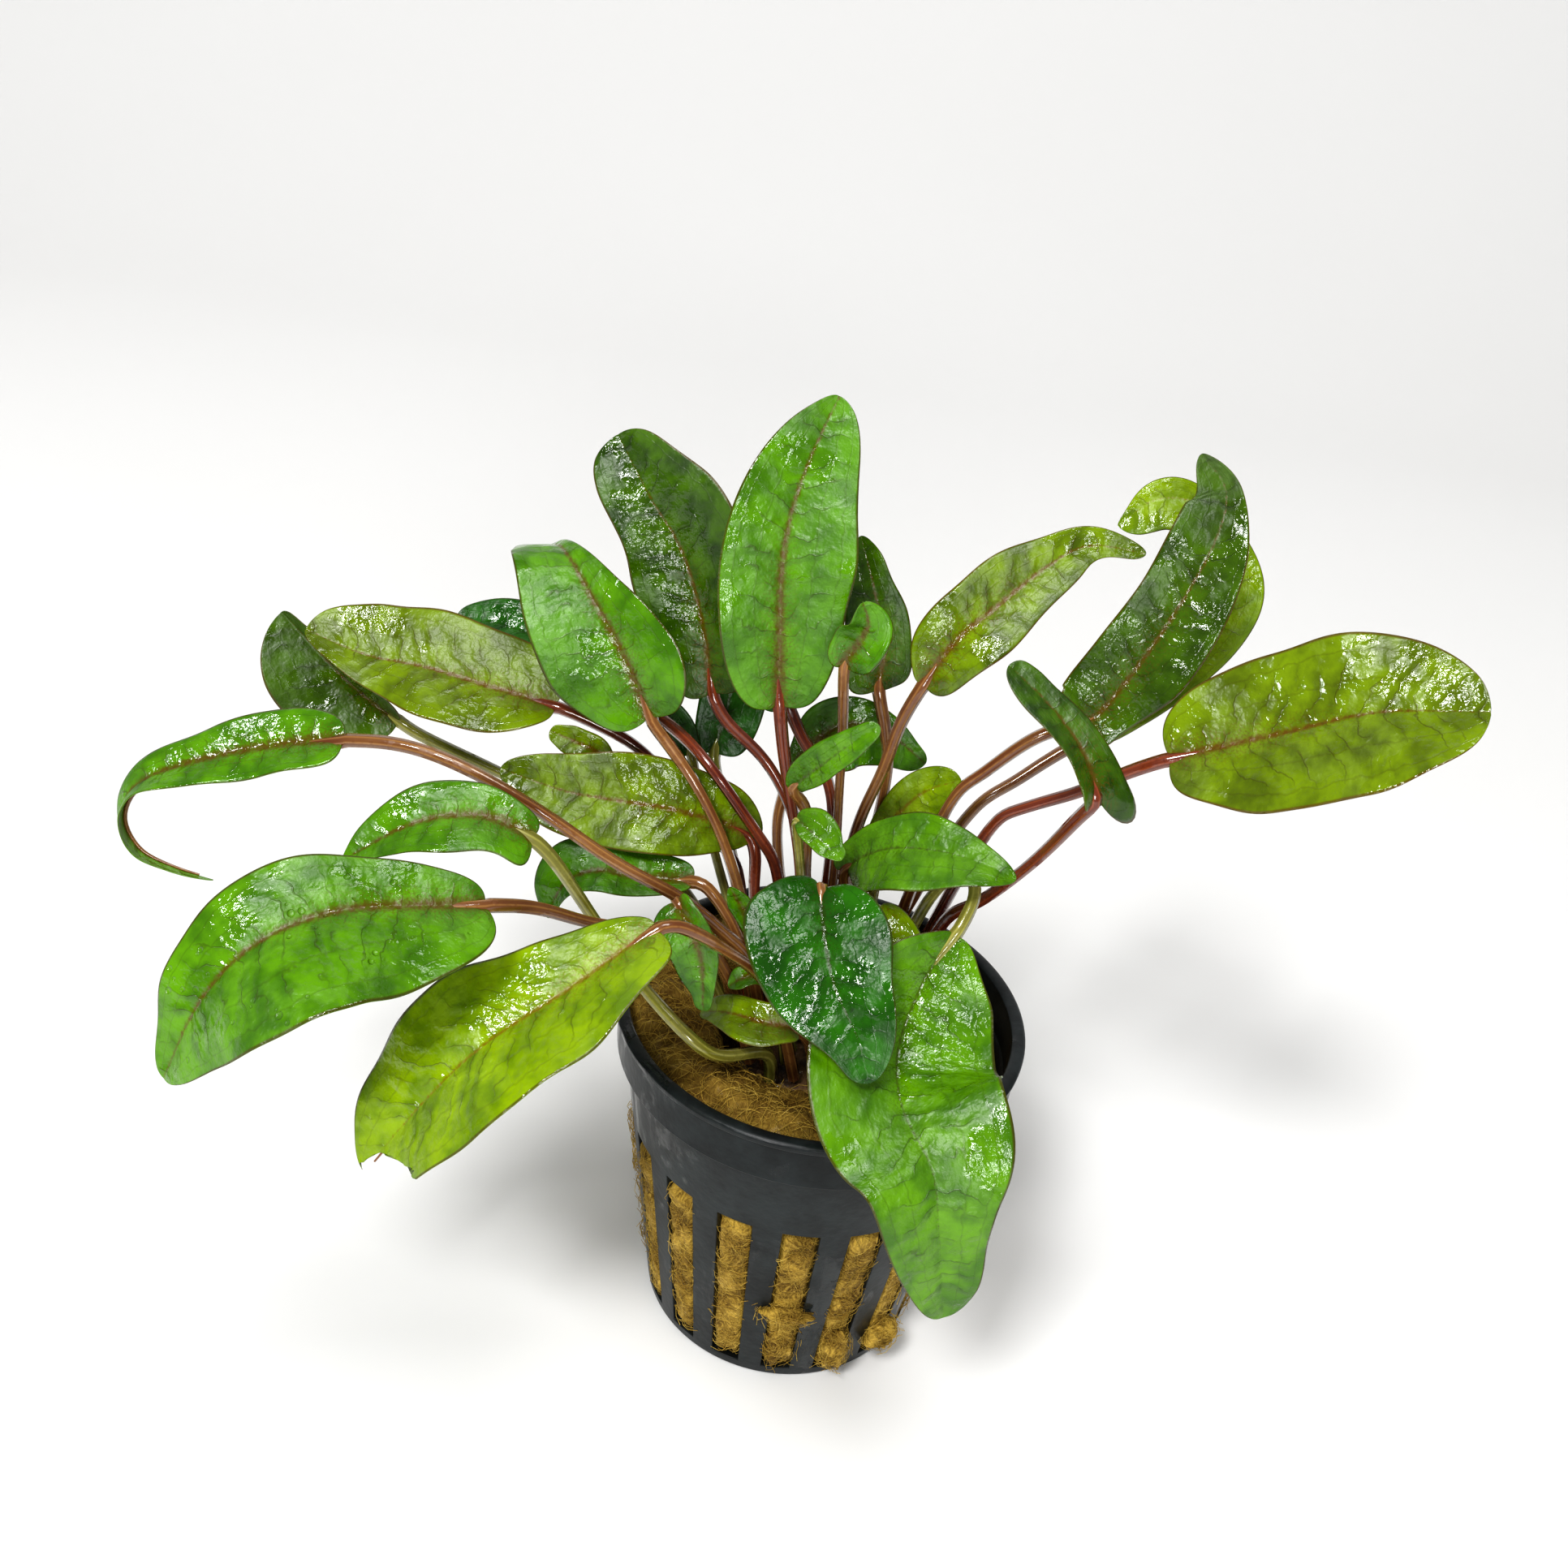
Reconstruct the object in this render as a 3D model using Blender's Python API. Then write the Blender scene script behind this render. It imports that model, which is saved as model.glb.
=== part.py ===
"""A potted cryptocoryne: a bushy water plant in a slotted net pot packed with rock wool.

Millimetres are used for every size below and turned into metres when a mesh is made.
The pot stands on z = 0 with its axis on z, and the photograph looks along +y and down.
"""
import math
from collections import namedtuple

import bpy
import bmesh
import numpy as np

MM = 0.001

# Net pot: a tapered cup with a collar, a rounded lip and a ring of upright slots.
POT_HEIGHT = 51.0
RIM_RADIUS = 27.5
LIP_DEPTH = 1.2
LIP_ROUNDING = 0.3
COLLAR_RADIUS = 26.8
COLLAR_BOTTOM = 43.5
COLLAR_SLOPE = 1.5
NECK_RADIUS = 25.6
BASE_RADIUS = 19.4
WALL = 1.2
FLOOR = 1.4
SLOT_COUNT = 17
SLOT_BOTTOM = 1.8
SLOT_TOP = 32.5
SLOT_DEGREES = 11.6
FIRST_SLOT_DEGREES = -87.4

# Rock wool plug, with a well in the middle for the crown.
FIT_GAP = 0.3
WOOL_TOP = 50.0
WOOL_EDGE_TOP = 48.2
WOOL_SHOULDER = 1.5
WOOL_SIDES = 34
WELL_MOUTH_RADIUS = 14.0
WELL_RADIUS = 11.8
WELL_FLOOR = 33.0

# Crown: the short rootstock that every leaf stalk grows from.
CROWN_CENTRE = (-0.5, 0.0)
CROWN_RADIUS = 10.8
CROWN_TOP = 43.6
CROWN_SIDES = 16
CROWN_LUMP = 0.4
CROWN_LOBES = 5

# Leaves: a round stalk that widens into one thin blade.
STALK_RADIUS = 0.8
STALK_FOOT = CROWN_TOP + FIT_GAP
STALK_STEP = 11.0
RING_SIDES = 8
RIB_THICKNESS = 0.9
BLADE_THICKNESS = 0.55
TIP_THINNING = 0.6
TIP_RADIUS = 0.12
LOBE_FADE = 0.12
CURVE_STEPS = 12
WAY_STEP = 0.6

# Half widths are given at these places along the blade, from its base to its tip.
# Equal steps of an angle put them closer together where the outline turns most.
STATION_STEP = 22.5
STATIONS = [(1 - math.cos(math.radians(STATION_STEP * i))) / 2 for i in range(9)]

Leaf = namedtuple(
    "Leaf",
    "name tone stalk blade left right faces fold lobe",
    defaults=((12, 12), 0.35),
)

# Each leaf lists the points that its stalk and midrib pass through, in mm, the half
# widths of its blade left and right of the midrib, and where its upper face looks,
# once or several times from base to tip. Then come the fold of its two halves, in
# degrees, and how far the base lobes reach back, as a share of the half width.
LEAVES = (
    Leaf("leaf_tall_centre", "bright",
         [(-2.5, 3.5, 44), (-5, 3, 68), (-9, 4, 83)],
         [(-11, 5, 92), (-12, 6, 100), (-13, 8, 110), (-12, 11, 119), (-9, 14, 128.5)],
         (4, 6.5, 7.5, 7.5, 6.5, 4.5, 2), (4, 6.5, 8, 9, 7.5, 5.5, 3),
         [(0.05, -0.95, 0.3)]),
    Leaf("leaf_tall_back_left", "deep",
         [(-1.5, 8.8, 44), (-5, 9, 68), (-11, 12, 79), (-17, 14, 83)],
         [(-20, 15, 87), (-22, 17, 95), (-26, 20, 104), (-31, 22, 110), (-36, 26, 116)],
         (4, 5.5, 7, 7.5, 6, 5.5, 4), (4, 6.5, 8, 9, 8.5, 6, 3.5),
         [(-0.3, -0.8, 0.5)]),
    Leaf("leaf_left_folded_tip", "bright",
         [(-7.5, 1.8, 44), (-13, 2.5, 66), (-19, 4, 78), (-25, 7, 84)],
         [(-27, 8, 86), (-31, 10, 93), (-36, 13, 99), (-41, 19, 102.5), (-45, 27, 99)],
         (5.5, 9, 10, 9, 7, 5.5, 3.5), (5, 8, 6.5, 5, 3.5, 2.5, 2),
         [(-0.5, -0.7, 0.5), (-0.4, -0.4, 0.8), (-0.2, 0.2, 1)]),
    Leaf("leaf_left_olive_long", "olive",
         [(-9.5, 3.5, 44), (-13, 9, 62), (-16, 10, 67), (-27, 12, 78), (-34, 13, 81)],
         [(-40, 13, 83), (-49, 14, 84), (-58, 15, 85), (-66, 16, 85), (-74, 17, 87)],
         (3, 6, 7.5, 7.5, 5, 3, 1.5), (4.5, 7, 7.5, 8, 7.5, 6, 3.5),
         [(0, -0.6, 0.8)]),
    Leaf("leaf_left_hidden", "deep",
         [(-4, 6.5, 44), (-8, 6, 66), (-11, 5, 72), (-17, 5, 80), (-22, 9, 83)],
         [(-28, 14, 84), (-35, 19, 86), (-42, 22, 87), (-49, 24, 88), (-56, 25, 88)],
         (2.5, 4, 5, 5, 4.5, 3.5, 2), (2.5, 4, 5, 5, 4.5, 3.5, 2),
         [(0, -0.5, 0.85)]),
    Leaf("leaf_left_pale_small", "olive",
         [(-10, -1.3, 44), (-21, 4, 61), (-25, 6, 67), (-29, 9, 73)],
         [(-32, 10, 77), (-34, 10, 79), (-37, 10, 80), (-40, 10, 81)],
         (1, 1.5, 2, 2, 2, 1.5, 1), (1, 1.5, 2, 2, 2, 1.5, 1),
         [(0, -0.9, 0.4)]),
    Leaf("leaf_far_left_folded", "olive",
         [(-10, 1.2, 44), (-19, 7, 60), (-32, 12, 66), (-48, 16, 70), (-58, 17, 73)],
         [(-62, 18, 74.5), (-68, 19, 78), (-73, 20, 82), (-78.5, 21, 87)],
         (3, 6, 8, 9, 8.5, 6.5, 3.5), (2, 3.5, 4, 4, 4, 3, 2),
         [(0.1, -0.8, 0.6)], fold=(5, 70)),
    Leaf("leaf_back_dark", "deep",
         [(-5.8, 7.5, 44), (-11, 10, 53), (-14, 13, 61), (-18, 15, 74)],
         [(-19, 17, 77), (-18, 20, 83), (-18, 23, 89), (-21, 26, 95)],
         (2.5, 3.5, 4, 4, 3.5, 3, 2), (3, 4.5, 5, 5, 4.5, 3.5, 2),
         [(0, -0.9, 0.3)]),
    Leaf("leaf_back_dark_small", "deep",
         [(-8, 6, 44), (-13, 9, 55), (-17, 12, 64), (-21, 15, 74)],
         [(-22, 16, 77), (-25, 17, 81), (-29, 18, 85)],
         (1.5, 2, 2.5, 2.5, 2, 1.5, 1), (1.5, 2, 2.5, 2.5, 2, 1.5, 1),
         [(0, -0.9, 0.3)]),
    Leaf("leaf_far_left_drooping", "bright",
         [(-7, -3.5, 44), (-10, -3, 58), (-14, -4, 63), (-20, -7, 70), (-28, -9, 75),
          (-39, -9, 82), (-52, -7, 86)],
         [(-62, -6, 85), (-70, -6, 83), (-78, -8, 81), (-85, -10, 78), (-87, -12, 74),
          (-85, -13, 70), (-81, -13, 68), (-76, -13, 67)],
         (3.5, 4.5, 4.5, 3.5, 2.5, 2, 1), (3, 4.5, 4, 3, 2.5, 2, 1),
         [(0, -0.5, 0.85), (0, -0.5, 0.85), (-0.9, -0.3, 0.2), (-0.2, -0.5, -0.86)]),
    Leaf("leaf_left_red_rib", "olive",
         [(-6, 4.2, 44), (-11, 5, 62)],
         [(-12, 8, 70), (-21, 6, 74), (-29, 5, 75), (-37, 4, 76), (-45, 4, 78)],
         (2, 4, 6, 6.5, 6, 4.5, 2), (2.5, 5, 6, 6.5, 5.5, 4, 2),
         [(0, -0.8, 0.6)]),
    Leaf("leaf_left_low", "bright",
         [(-5.5, -8.5, 44), (-6.5, -10, 50), (-12, -16.5, 53.5), (-16, -18, 57),
          (-23, -14, 61), (-30, -11, 68), (-34, -13, 76)],
         [(-37, -15, 81), (-42, -15, 83), (-47, -16, 83), (-52, -17, 81), (-58, -19, 77)],
         (4, 4.5, 5, 5, 3.5, 2, 1), (2, 3, 4, 4.5, 3.5, 2.5, 1),
         [(0, -0.5, 0.85)]),
    Leaf("leaf_left_hanging_tip", "deep",
         [(-8, -0.4, 44), (-11.5, -1, 59), (-16, 0, 66)],
         [(-19, 1, 67), (-26, 0, 67), (-31, -1, 68), (-35, -2, 66), (-37, -3, 61)],
         (1.5, 2.5, 3, 3.5, 2.5, 1.5, 1), (2, 3, 3.5, 4, 5, 3.5, 1.5),
         [(-0.2, -0.5, 0.8)]),
    Leaf("leaf_left_wide_front", "bright",
         [(-8.5, -5.5, 44), (-14, -5, 60), (-19, -8, 65), (-29, -15, 70), (-35, -20, 75)],
         [(-40, -25, 78), (-50, -29, 79), (-56, -32, 79), (-62, -36, 77), (-67, -39, 71),
          (-71, -41, 61)],
         (5.5, 9.5, 12.5, 13, 11, 6.5, 3), (2.5, 4.5, 6, 7.5, 6, 4, 2),
         [(-0.2, -0.55, 0.8)]),
    Leaf("leaf_front_left_olive", "olive",
         [(-2.5, -7.5, 44), (-7, -11, 61), (-13, -18, 71), (-17, -20.5, 75)],
         [(-21, -22, 76), (-30, -28, 70), (-38, -33, 65), (-44, -36, 58), (-50, -39, 49)],
         (5, 7, 9.5, 10, 9.5, 7.5, 3.5), (2.5, 5, 7, 9.5, 9, 7, 3.5),
         [(-0.4, -0.5, 0.75)]),
    Leaf("leaf_rim_arched", "bright",
         [(-6.2, -6.2, 44), (-12.5, -7.5, 59), (-18, -10, 69)],
         [(-20, -12, 73), (-18, -14, 71), (-16, -15, 67), (-15, -16, 60)],
         (1.5, 2, 2.5, 2.5, 2, 1.5, 1), (2, 4, 4, 3.5, 3, 1.5, 1),
         [(-0.3, -0.7, 0.6)]),
    Leaf("leaf_rim_young", "bright",
         [(-4, -4.8, 44), (-6, -7, 55)],
         [(-8.5, -8.5, 60.5), (-10.5, -9.5, 61), (-12.5, -10, 59.5)],
         (1, 1.5, 1.5, 1.5, 1.5, 1, 0.5), (1, 1.5, 1.5, 1.5, 1.5, 1, 0.5),
         [(-0.3, -0.5, 0.8)]),
    Leaf("leaf_over_wool", "olive",
         [(0, -8.5, 44), (-1, -11, 52)],
         [(-3, -13.5, 57), (-8, -13.5, 57.5), (-12, -12, 57), (-15.5, -10, 55)],
         (1.5, 2.5, 3.5, 3.5, 2.5, 1.5, 1), (1.5, 2.5, 2.5, 2.5, 2.5, 2, 1),
         [(0, -0.5, 0.85)]),
    Leaf("leaf_front_dark_wide", "deep",
         [(1, -4, 44), (-1, -6, 63), (-2, -8, 72)],
         [(-3, -9, 76), (-2, -14, 73), (0, -19, 69), (3.5, -23, 65), (5.5, -26, 61)],
         (3, 6.5, 8, 7.5, 6, 4, 2), (4.5, 9, 9.5, 8, 5.5, 3.5, 2),
         [(0, -0.85, 0.5)]),
    Leaf("leaf_front_light", "bright",
         [(3.5, -1, 44), (3, -2, 61), (4, -2.5, 67)],
         [(4.5, -3.5, 70), (6.5, -8, 67.5), (7.5, -13, 64), (8.5, -16, 60)],
         (2, 3.5, 4.5, 4, 3, 2, 1), (2, 4, 5, 5, 4, 2.5, 1),
         [(0.3, -0.85, 0.5)]),
    Leaf("leaf_front_over_rim", "deep",
         [(6, -1.5, 44), (10, -1, 68), (14, -3, 77), (16, -6, 76)],
         [(14, -10, 72), (11, -13, 67), (9, -18, 60), (10, -25, 57), (14, -31, 54),
          (16, -34, 47), (19, -34, 33)],
         (4, 9.5, 12, 12, 7, 5, 3), (3, 8, 12, 10.5, 7.5, 5, 2.5),
         [(0.2, -0.85, 0.5)]),
    Leaf("leaf_right_bright", "bright",
         [(5.5, 2.5, 44), (2, 3, 65)],
         [(0, 2, 71), (4, -1, 77), (10, -4, 80), (16, -7, 81), (20, -8, 80)],
         (2, 3, 4, 4.5, 3.5, 2, 1), (2, 4.5, 6, 6.5, 5.5, 3.5, 1.5),
         [(0, -0.6, 0.8)]),
    Leaf("leaf_right_young_yellow", "bright",
         [(3.5, 5, 44), (5, 8, 65)],
         [(4, 8, 72), (6, 8, 77), (9, 8, 81), (13, 7, 84)],
         (1.5, 2, 2.5, 3, 3, 2.5, 1.5), (1, 1.5, 2.5, 3, 3.5, 2.5, 1.5),
         [(0, -0.8, 0.6)]),
    Leaf("leaf_middle_small", "bright",
         [(-2, 1, 44), (-5, 0, 73), (-6, 0, 81)],
         [(-8, -1, 84), (-5, -3, 89), (-2, -4, 93), (1, -4, 96)],
         (1, 2, 2.5, 2.5, 2, 1.5, 1), (1, 1.5, 2, 2, 2, 1.5, 1),
         [(0, -0.8, 0.6)]),
    Leaf("leaf_middle_young", "bright",
         [(0, -1.8, 44), (-6, -3, 76)],
         [(-7, -5, 82), (-5, -7, 82), (-3, -8, 81), (-1, -9, 80)],
         (1, 2, 3, 3, 2.5, 1.5, 1), (0.5, 1, 1.5, 1.5, 1.5, 1, 0.5),
         [(0, -0.8, 0.6)]),
    Leaf("leaf_middle_back", "deep",
         [(-3.5, 9, 44), (-9, 12, 67), (-9, 13, 74)],
         [(-8, 14, 78), (-5, 15, 83), (-1, 16, 85), (4, 16, 84), (9, 15, 81)],
         (1.5, 2.5, 4, 3.5, 2.5, 1.5, 1), (2, 4, 6, 6, 5, 3.5, 2),
         [(0, -0.8, 0.6)]),
    Leaf("leaf_curled", "bright",
         [(0, 4, 44), (-1, 5, 68), (-2, 4.5, 80), (-3, 3, 92)],
         [(-4, 2, 100), (-3, 2, 102.5), (-2, 1.5, 106), (-3, 1, 109)],
         (1.5, 2.5, 3, 3, 2.5, 2, 1), (1.5, 3, 3.5, 3.5, 3, 2, 1),
         [(0, -0.7, 0.7)]),
    Leaf("leaf_back_olive", "olive",
         [(1.2, 9, 44), (4, 10, 77), (3, 10, 87)],
         [(1, 11, 93), (1, 12, 98), (-1, 14, 104), (-4, 16, 111)],
         (3.5, 4.5, 5, 4.5, 3.5, 2.5, 1), (1.5, 3.5, 3.5, 3.5, 2.5, 2, 1),
         [(0, -0.9, 0.4)]),
    Leaf("leaf_right_long_tip", "olive",
         [(1, 6.5, 44), (0.5, 6.5, 72), (3, 6, 84), (4, 6, 91)],
         [(6, 6, 97), (9, 7, 103), (13, 9, 107), (18, 11, 112), (23, 13, 115), (30, 13, 115)],
         (2, 4.5, 5, 5, 3, 2, 1), (3, 4.5, 5.5, 4.5, 3.5, 1.5, 1),
         [(0, -0.8, 0.6)]),
    Leaf("leaf_right_twisted", "deep",
         [(6, 6, 44), (11, 4, 80), (15, 5, 86), (20, 5, 92)],
         [(24, 6, 94), (28, 7, 96), (33, 9, 106), (37, 12, 116), (38, 15, 123), (34, 16, 127)],
         (4.5, 6, 6, 5.5, 5.5, 4.5, 2), (3.5, 4, 6, 6, 4.5, 2, 1),
         [(-0.2, -0.9, 0.3)]),
    Leaf("leaf_right_arched_back", "bright",
         [(4, 8, 44), (14, 9, 76), (20, 11, 82), (25, 13, 86)],
         [(29, 14, 89), (36, 16, 95), (42, 18, 103), (43.5, 20, 111), (39, 22, 118),
          (32, 22, 119), (27.5, 21, 115)],
         (2, 3.5, 4.5, 4.5, 4.5, 4.5, 3), (2, 2.5, 3, 3.5, 1.5, 2.5, 1),
         [(0, -0.8, 0.6)]),
    Leaf("leaf_right_edge_on", "deep",
         [(8.5, 0, 44), (13, -1, 67), (17, -2.5, 72), (22, -6.5, 82), (25, -11, 92)],
         [(26, -12, 95), (24, -10, 99), (20, -8, 103), (14, -6, 107)],
         (2, 2.5, 2.5, 3, 3, 2.5, 1.5), (5, 4, 3, 2.5, 2, 2, 1.5),
         [(0.5, -0.7, 0.5)], lobe=1.2),
    Leaf("leaf_far_right_wide", "bright",
         [(8, 3.5, 44), (16, 1, 79), (20, 0, 85), (26, -1, 89), (31, -3, 94)],
         [(35, -4, 97), (40, -5, 100), (46, -7, 104), (54, -10, 109.5), (64, -13.5, 113)],
         (4.5, 7.5, 9, 9.5, 9, 7, 4), (4.5, 7.5, 10, 10.5, 10.5, 8, 4.5),
         [(0, -0.6, 0.8)], lobe=0.3),
    Leaf("leaf_front_sprout", "bright",
         [(-3, -2, 44), (-7, -3.5, 60)],
         [(-10, -5, 65), (-12, -5, 68), (-14, -5, 71)],
         (1, 1.5, 1.5, 1.5, 1.5, 1, 0.5), (1, 1.5, 1.5, 1.5, 1.5, 1, 0.5),
         [(0, -0.9, 0.4)]),
    Leaf("leaf_behind_centre", "deep",
         [(-1.5, 6.8, 44), (-2, 7, 77), (-7, 8, 85)],
         [(-10, 9, 90), (-14, 11, 97), (-15, 12, 105), (-15, 14, 112)],
         (2.5, 4, 5, 5, 4.5, 3.5, 2), (2.5, 4, 5, 5, 4.5, 3.5, 2),
         [(0, -0.9, 0.4)]),
)

# Colours: linear RGB, roughness and metallic value of each finish.
FINISHES = {
    "leaf_bright": ((0.13, 0.36, 0.02), 0.25, 0.0),
    "leaf_deep": ((0.04, 0.16, 0.02), 0.25, 0.0),
    "leaf_olive": ((0.17, 0.20, 0.02), 0.25, 0.0),
    "pot_plastic": ((0.018, 0.024, 0.032), 0.35, 0.0),
    "wool_fibre": ((0.42, 0.27, 0.10), 0.95, 0.0),
    "crown_root": ((0.12, 0.06, 0.02), 0.8, 0.0),
}


def clear_scene():
    """Remove every object that the file opened with."""
    for thing in list(bpy.data.objects):
        bpy.data.objects.remove(thing, do_unlink=True)


def finish(name):
    """Return the named Principled material, made on first use."""
    material = bpy.data.materials.get(name)
    if material is None:
        colour, roughness, metallic = FINISHES[name]
        material = bpy.data.materials.new(name)
        material.use_nodes = True
        shader = material.node_tree.nodes["Principled BSDF"]
        shader.inputs["Base Color"].default_value = (*colour, 1.0)
        shader.inputs["Roughness"].default_value = roughness
        shader.inputs["Metallic"].default_value = metallic
        material.diffuse_color = (*colour, 1.0)
    return material


def add_node(name, points, faces, finish_name):
    """Make one closed object from points in mm and faces, wound outwards."""
    mesh = bpy.data.meshes.new(name)
    mesh.from_pydata([tuple(c * MM for c in p) for p in points], [], faces)
    work = bmesh.new()
    work.from_mesh(mesh)
    bmesh.ops.remove_doubles(work, verts=work.verts, dist=1e-6)
    bmesh.ops.recalc_face_normals(work, faces=work.faces)
    work.to_mesh(mesh)
    work.free()
    mesh.materials.append(finish(finish_name))
    thing = bpy.data.objects.new(name, mesh)
    bpy.context.scene.collection.objects.link(thing)
    return thing


def lathe(profile, angles, centre=(0.0, 0.0), lump=None):
    """Turn a closed loop of (radius, height) points about z, at the given angles."""
    points = []
    for angle in angles:
        for radius, height in profile:
            reach = radius + (lump(angle, height) if lump and radius > 0 else 0.0)
            points.append((centre[0] + reach * math.cos(angle),
                           centre[1] + reach * math.sin(angle), height))
    turns, rows = len(angles), len(profile)
    faces = []
    for i in range(turns):
        for j in range(rows):
            below, above = profile[j], profile[(j + 1) % rows]
            if below[0] == 0 and above[0] == 0:
                continue
            near, far = i * rows, ((i + 1) % turns) * rows
            faces.append((near + j, far + j, far + (j + 1) % rows, near + (j + 1) % rows))
    return points, faces


def even_angles(count):
    return [2 * math.pi * i / count for i in range(count)]


# Net pot

def wall_radius(height):
    """Outer radius of the tapered body at a height."""
    return BASE_RADIUS + (NECK_RADIUS - BASE_RADIUS) * height / COLLAR_BOTTOM


def pot_profile():
    """The pot's cross-section as matching outer and inner points, from floor to lip."""
    outer = [(wall_radius(z), z) for z in (SLOT_BOTTOM, SLOT_TOP, COLLAR_BOTTOM)]
    inner = [(r - WALL, z) for r, z in outer]
    lip_low = POT_HEIGHT - LIP_DEPTH
    lip_high = POT_HEIGHT - LIP_ROUNDING
    bore = COLLAR_RADIUS - WALL
    outer += [(COLLAR_RADIUS, COLLAR_BOTTOM), (COLLAR_RADIUS, lip_low),
              (RIM_RADIUS, lip_low), (RIM_RADIUS, lip_high),
              (RIM_RADIUS - LIP_ROUNDING, POT_HEIGHT)]
    inner += [(NECK_RADIUS - WALL, COLLAR_BOTTOM + LIP_ROUNDING),
              (bore, COLLAR_BOTTOM + COLLAR_SLOPE), (bore, lip_low), (bore, lip_high),
              (bore + LIP_ROUNDING, POT_HEIGHT)]
    return outer, inner


def slot_angles():
    """Angles of both edges of every slot."""
    pitch = 2 * math.pi / SLOT_COUNT
    half = math.radians(SLOT_DEGREES) / 2
    first = math.radians(FIRST_SLOT_DEGREES)
    angles = []
    for i in range(SLOT_COUNT):
        middle = first + i * pitch
        angles += [middle - half, middle + half]
    return angles


def add_pot():
    outer, inner = pot_profile()
    angles = slot_angles()
    loop = [(0.0, 0.0), (BASE_RADIUS, 0.0)] + outer + inner[::-1]
    loop += [(BASE_RADIUS - WALL, FLOOR), (0.0, FLOOR)]
    points, faces = [], []
    rows = len(loop)
    for angle in angles:
        for radius, height in loop:
            points.append((radius * math.cos(angle), radius * math.sin(angle), height))
    outer_low, outer_high = 2, 3
    inner_low = 2 + len(outer) + len(inner) - 1
    inner_high = inner_low - 1
    for i in range(len(angles)):
        near, far = i * rows, ((i + 1) % len(angles)) * rows
        is_slot = i % 2 == 0
        for j in range(rows - 1):
            if is_slot and j in (outer_low, inner_high):
                continue
            faces.append((near + j, far + j, far + j + 1, near + j + 1))
        if is_slot:
            faces.append((near + outer_low, far + outer_low,
                          far + inner_low, near + inner_low))
            faces.append((near + inner_high, far + inner_high,
                          far + outer_high, near + outer_high))
            for side in (near, far):
                faces.append((side + outer_low, side + outer_high,
                              side + inner_high, side + inner_low))
    add_node("pot", points, faces, "pot_plastic")


# Rock wool and crown

def add_rock_wool():
    """A plug that fills the pot, domed on top, with a well for the crown."""
    inside = WALL + FIT_GAP
    edge = COLLAR_RADIUS - inside
    loop = [
        (0.0, FLOOR + FIT_GAP),
        (wall_radius(FLOOR) - inside, FLOOR + FIT_GAP),
        (wall_radius(SLOT_TOP) - inside, SLOT_TOP),
        (NECK_RADIUS - inside, COLLAR_BOTTOM),
        (edge, COLLAR_BOTTOM + COLLAR_SLOPE + FIT_GAP),
        (edge, WOOL_EDGE_TOP),
        (edge - WOOL_SHOULDER, 0.5 * (WOOL_EDGE_TOP + WOOL_TOP)),
        (0.5 * (COLLAR_RADIUS + WELL_MOUTH_RADIUS), WOOL_TOP),
        (WELL_MOUTH_RADIUS, WOOL_EDGE_TOP),
        (WELL_RADIUS, CROWN_TOP),
        (WELL_RADIUS, WELL_FLOOR),
        (0.0, WELL_FLOOR),
    ]
    points, faces = lathe(loop, even_angles(WOOL_SIDES))
    add_node("rock_wool", points, faces, "wool_fibre")


def add_crown():
    """The lumpy rootstock in the well."""
    low = WELL_FLOOR + FIT_GAP
    loop = [
        (0.0, low), (CROWN_RADIUS * 0.7, low), (CROWN_RADIUS * 0.95, low + 3.0),
        (CROWN_RADIUS - CROWN_LUMP, CROWN_TOP - 2.0), (CROWN_RADIUS * 0.9, CROWN_TOP),
        (0.0, CROWN_TOP),
    ]

    def lump(angle, height):
        return CROWN_LUMP * math.sin(CROWN_LOBES * angle + height)

    points, faces = lathe(loop, even_angles(CROWN_SIDES), CROWN_CENTRE, lump)
    add_node("crown", points, faces, "crown_root")


# Leaves

def smooth_path(points):
    """A Catmull-Rom curve through the points, as an array of close positions."""
    knots = [np.array(p, float) for p in points]
    knots = [2 * knots[0] - knots[1]] + knots + [2 * knots[-1] - knots[-2]]
    path = []
    for a, b, c, d in zip(knots, knots[1:], knots[2:], knots[3:]):
        for i in range(CURVE_STEPS):
            u = i / CURVE_STEPS
            path.append(0.5 * (2 * b + (c - a) * u + (2 * a - 5 * b + 4 * c - d) * u * u
                               + (3 * b - a - 3 * c + d) * u ** 3))
    path.append(knots[-2])
    return np.array(path)


def lengths_along(path):
    steps = np.linalg.norm(np.diff(path, axis=0), axis=1)
    return np.concatenate([[0.0], np.cumsum(steps)])


def place_on(path, reach, distance):
    """Position and direction at a distance along a path."""
    def spot_at(d):
        return np.array([np.interp(d, reach, path[:, k]) for k in range(3)])

    way = spot_at(distance + WAY_STEP) - spot_at(distance - WAY_STEP)
    return spot_at(distance), way / np.linalg.norm(way)


def leaf_frame(leaf, way, t):
    """Side and upward directions where the midrib runs along way."""
    marks = np.linspace(0, 1, len(leaf.faces))
    faces = np.array([np.interp(t, marks, [f[k] for f in leaf.faces]) for k in range(3)])
    side = np.cross(way, faces)
    side /= np.linalg.norm(side)
    return side, np.cross(side, way)


def blade_point(leaf, spot, way, station, across, lift):
    """A point of the blade: across runs from -1 at the left edge to 1 at the right."""
    t = STATIONS[station]
    side, up = leaf_frame(leaf, way, t)
    hand = 1 if across > 0 else 0
    half = (leaf.right if hand else leaf.left)[station - 1]
    turn = math.radians(leaf.fold[hand])
    out = side * across * math.cos(turn) + up * abs(across) * math.sin(turn)
    normal = up * math.cos(turn) - side * across * math.sin(turn) if across else up
    back = leaf.lobe * half * across * across * math.exp(-t / LOBE_FADE)
    return spot + out * half + normal * lift - way * back


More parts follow.
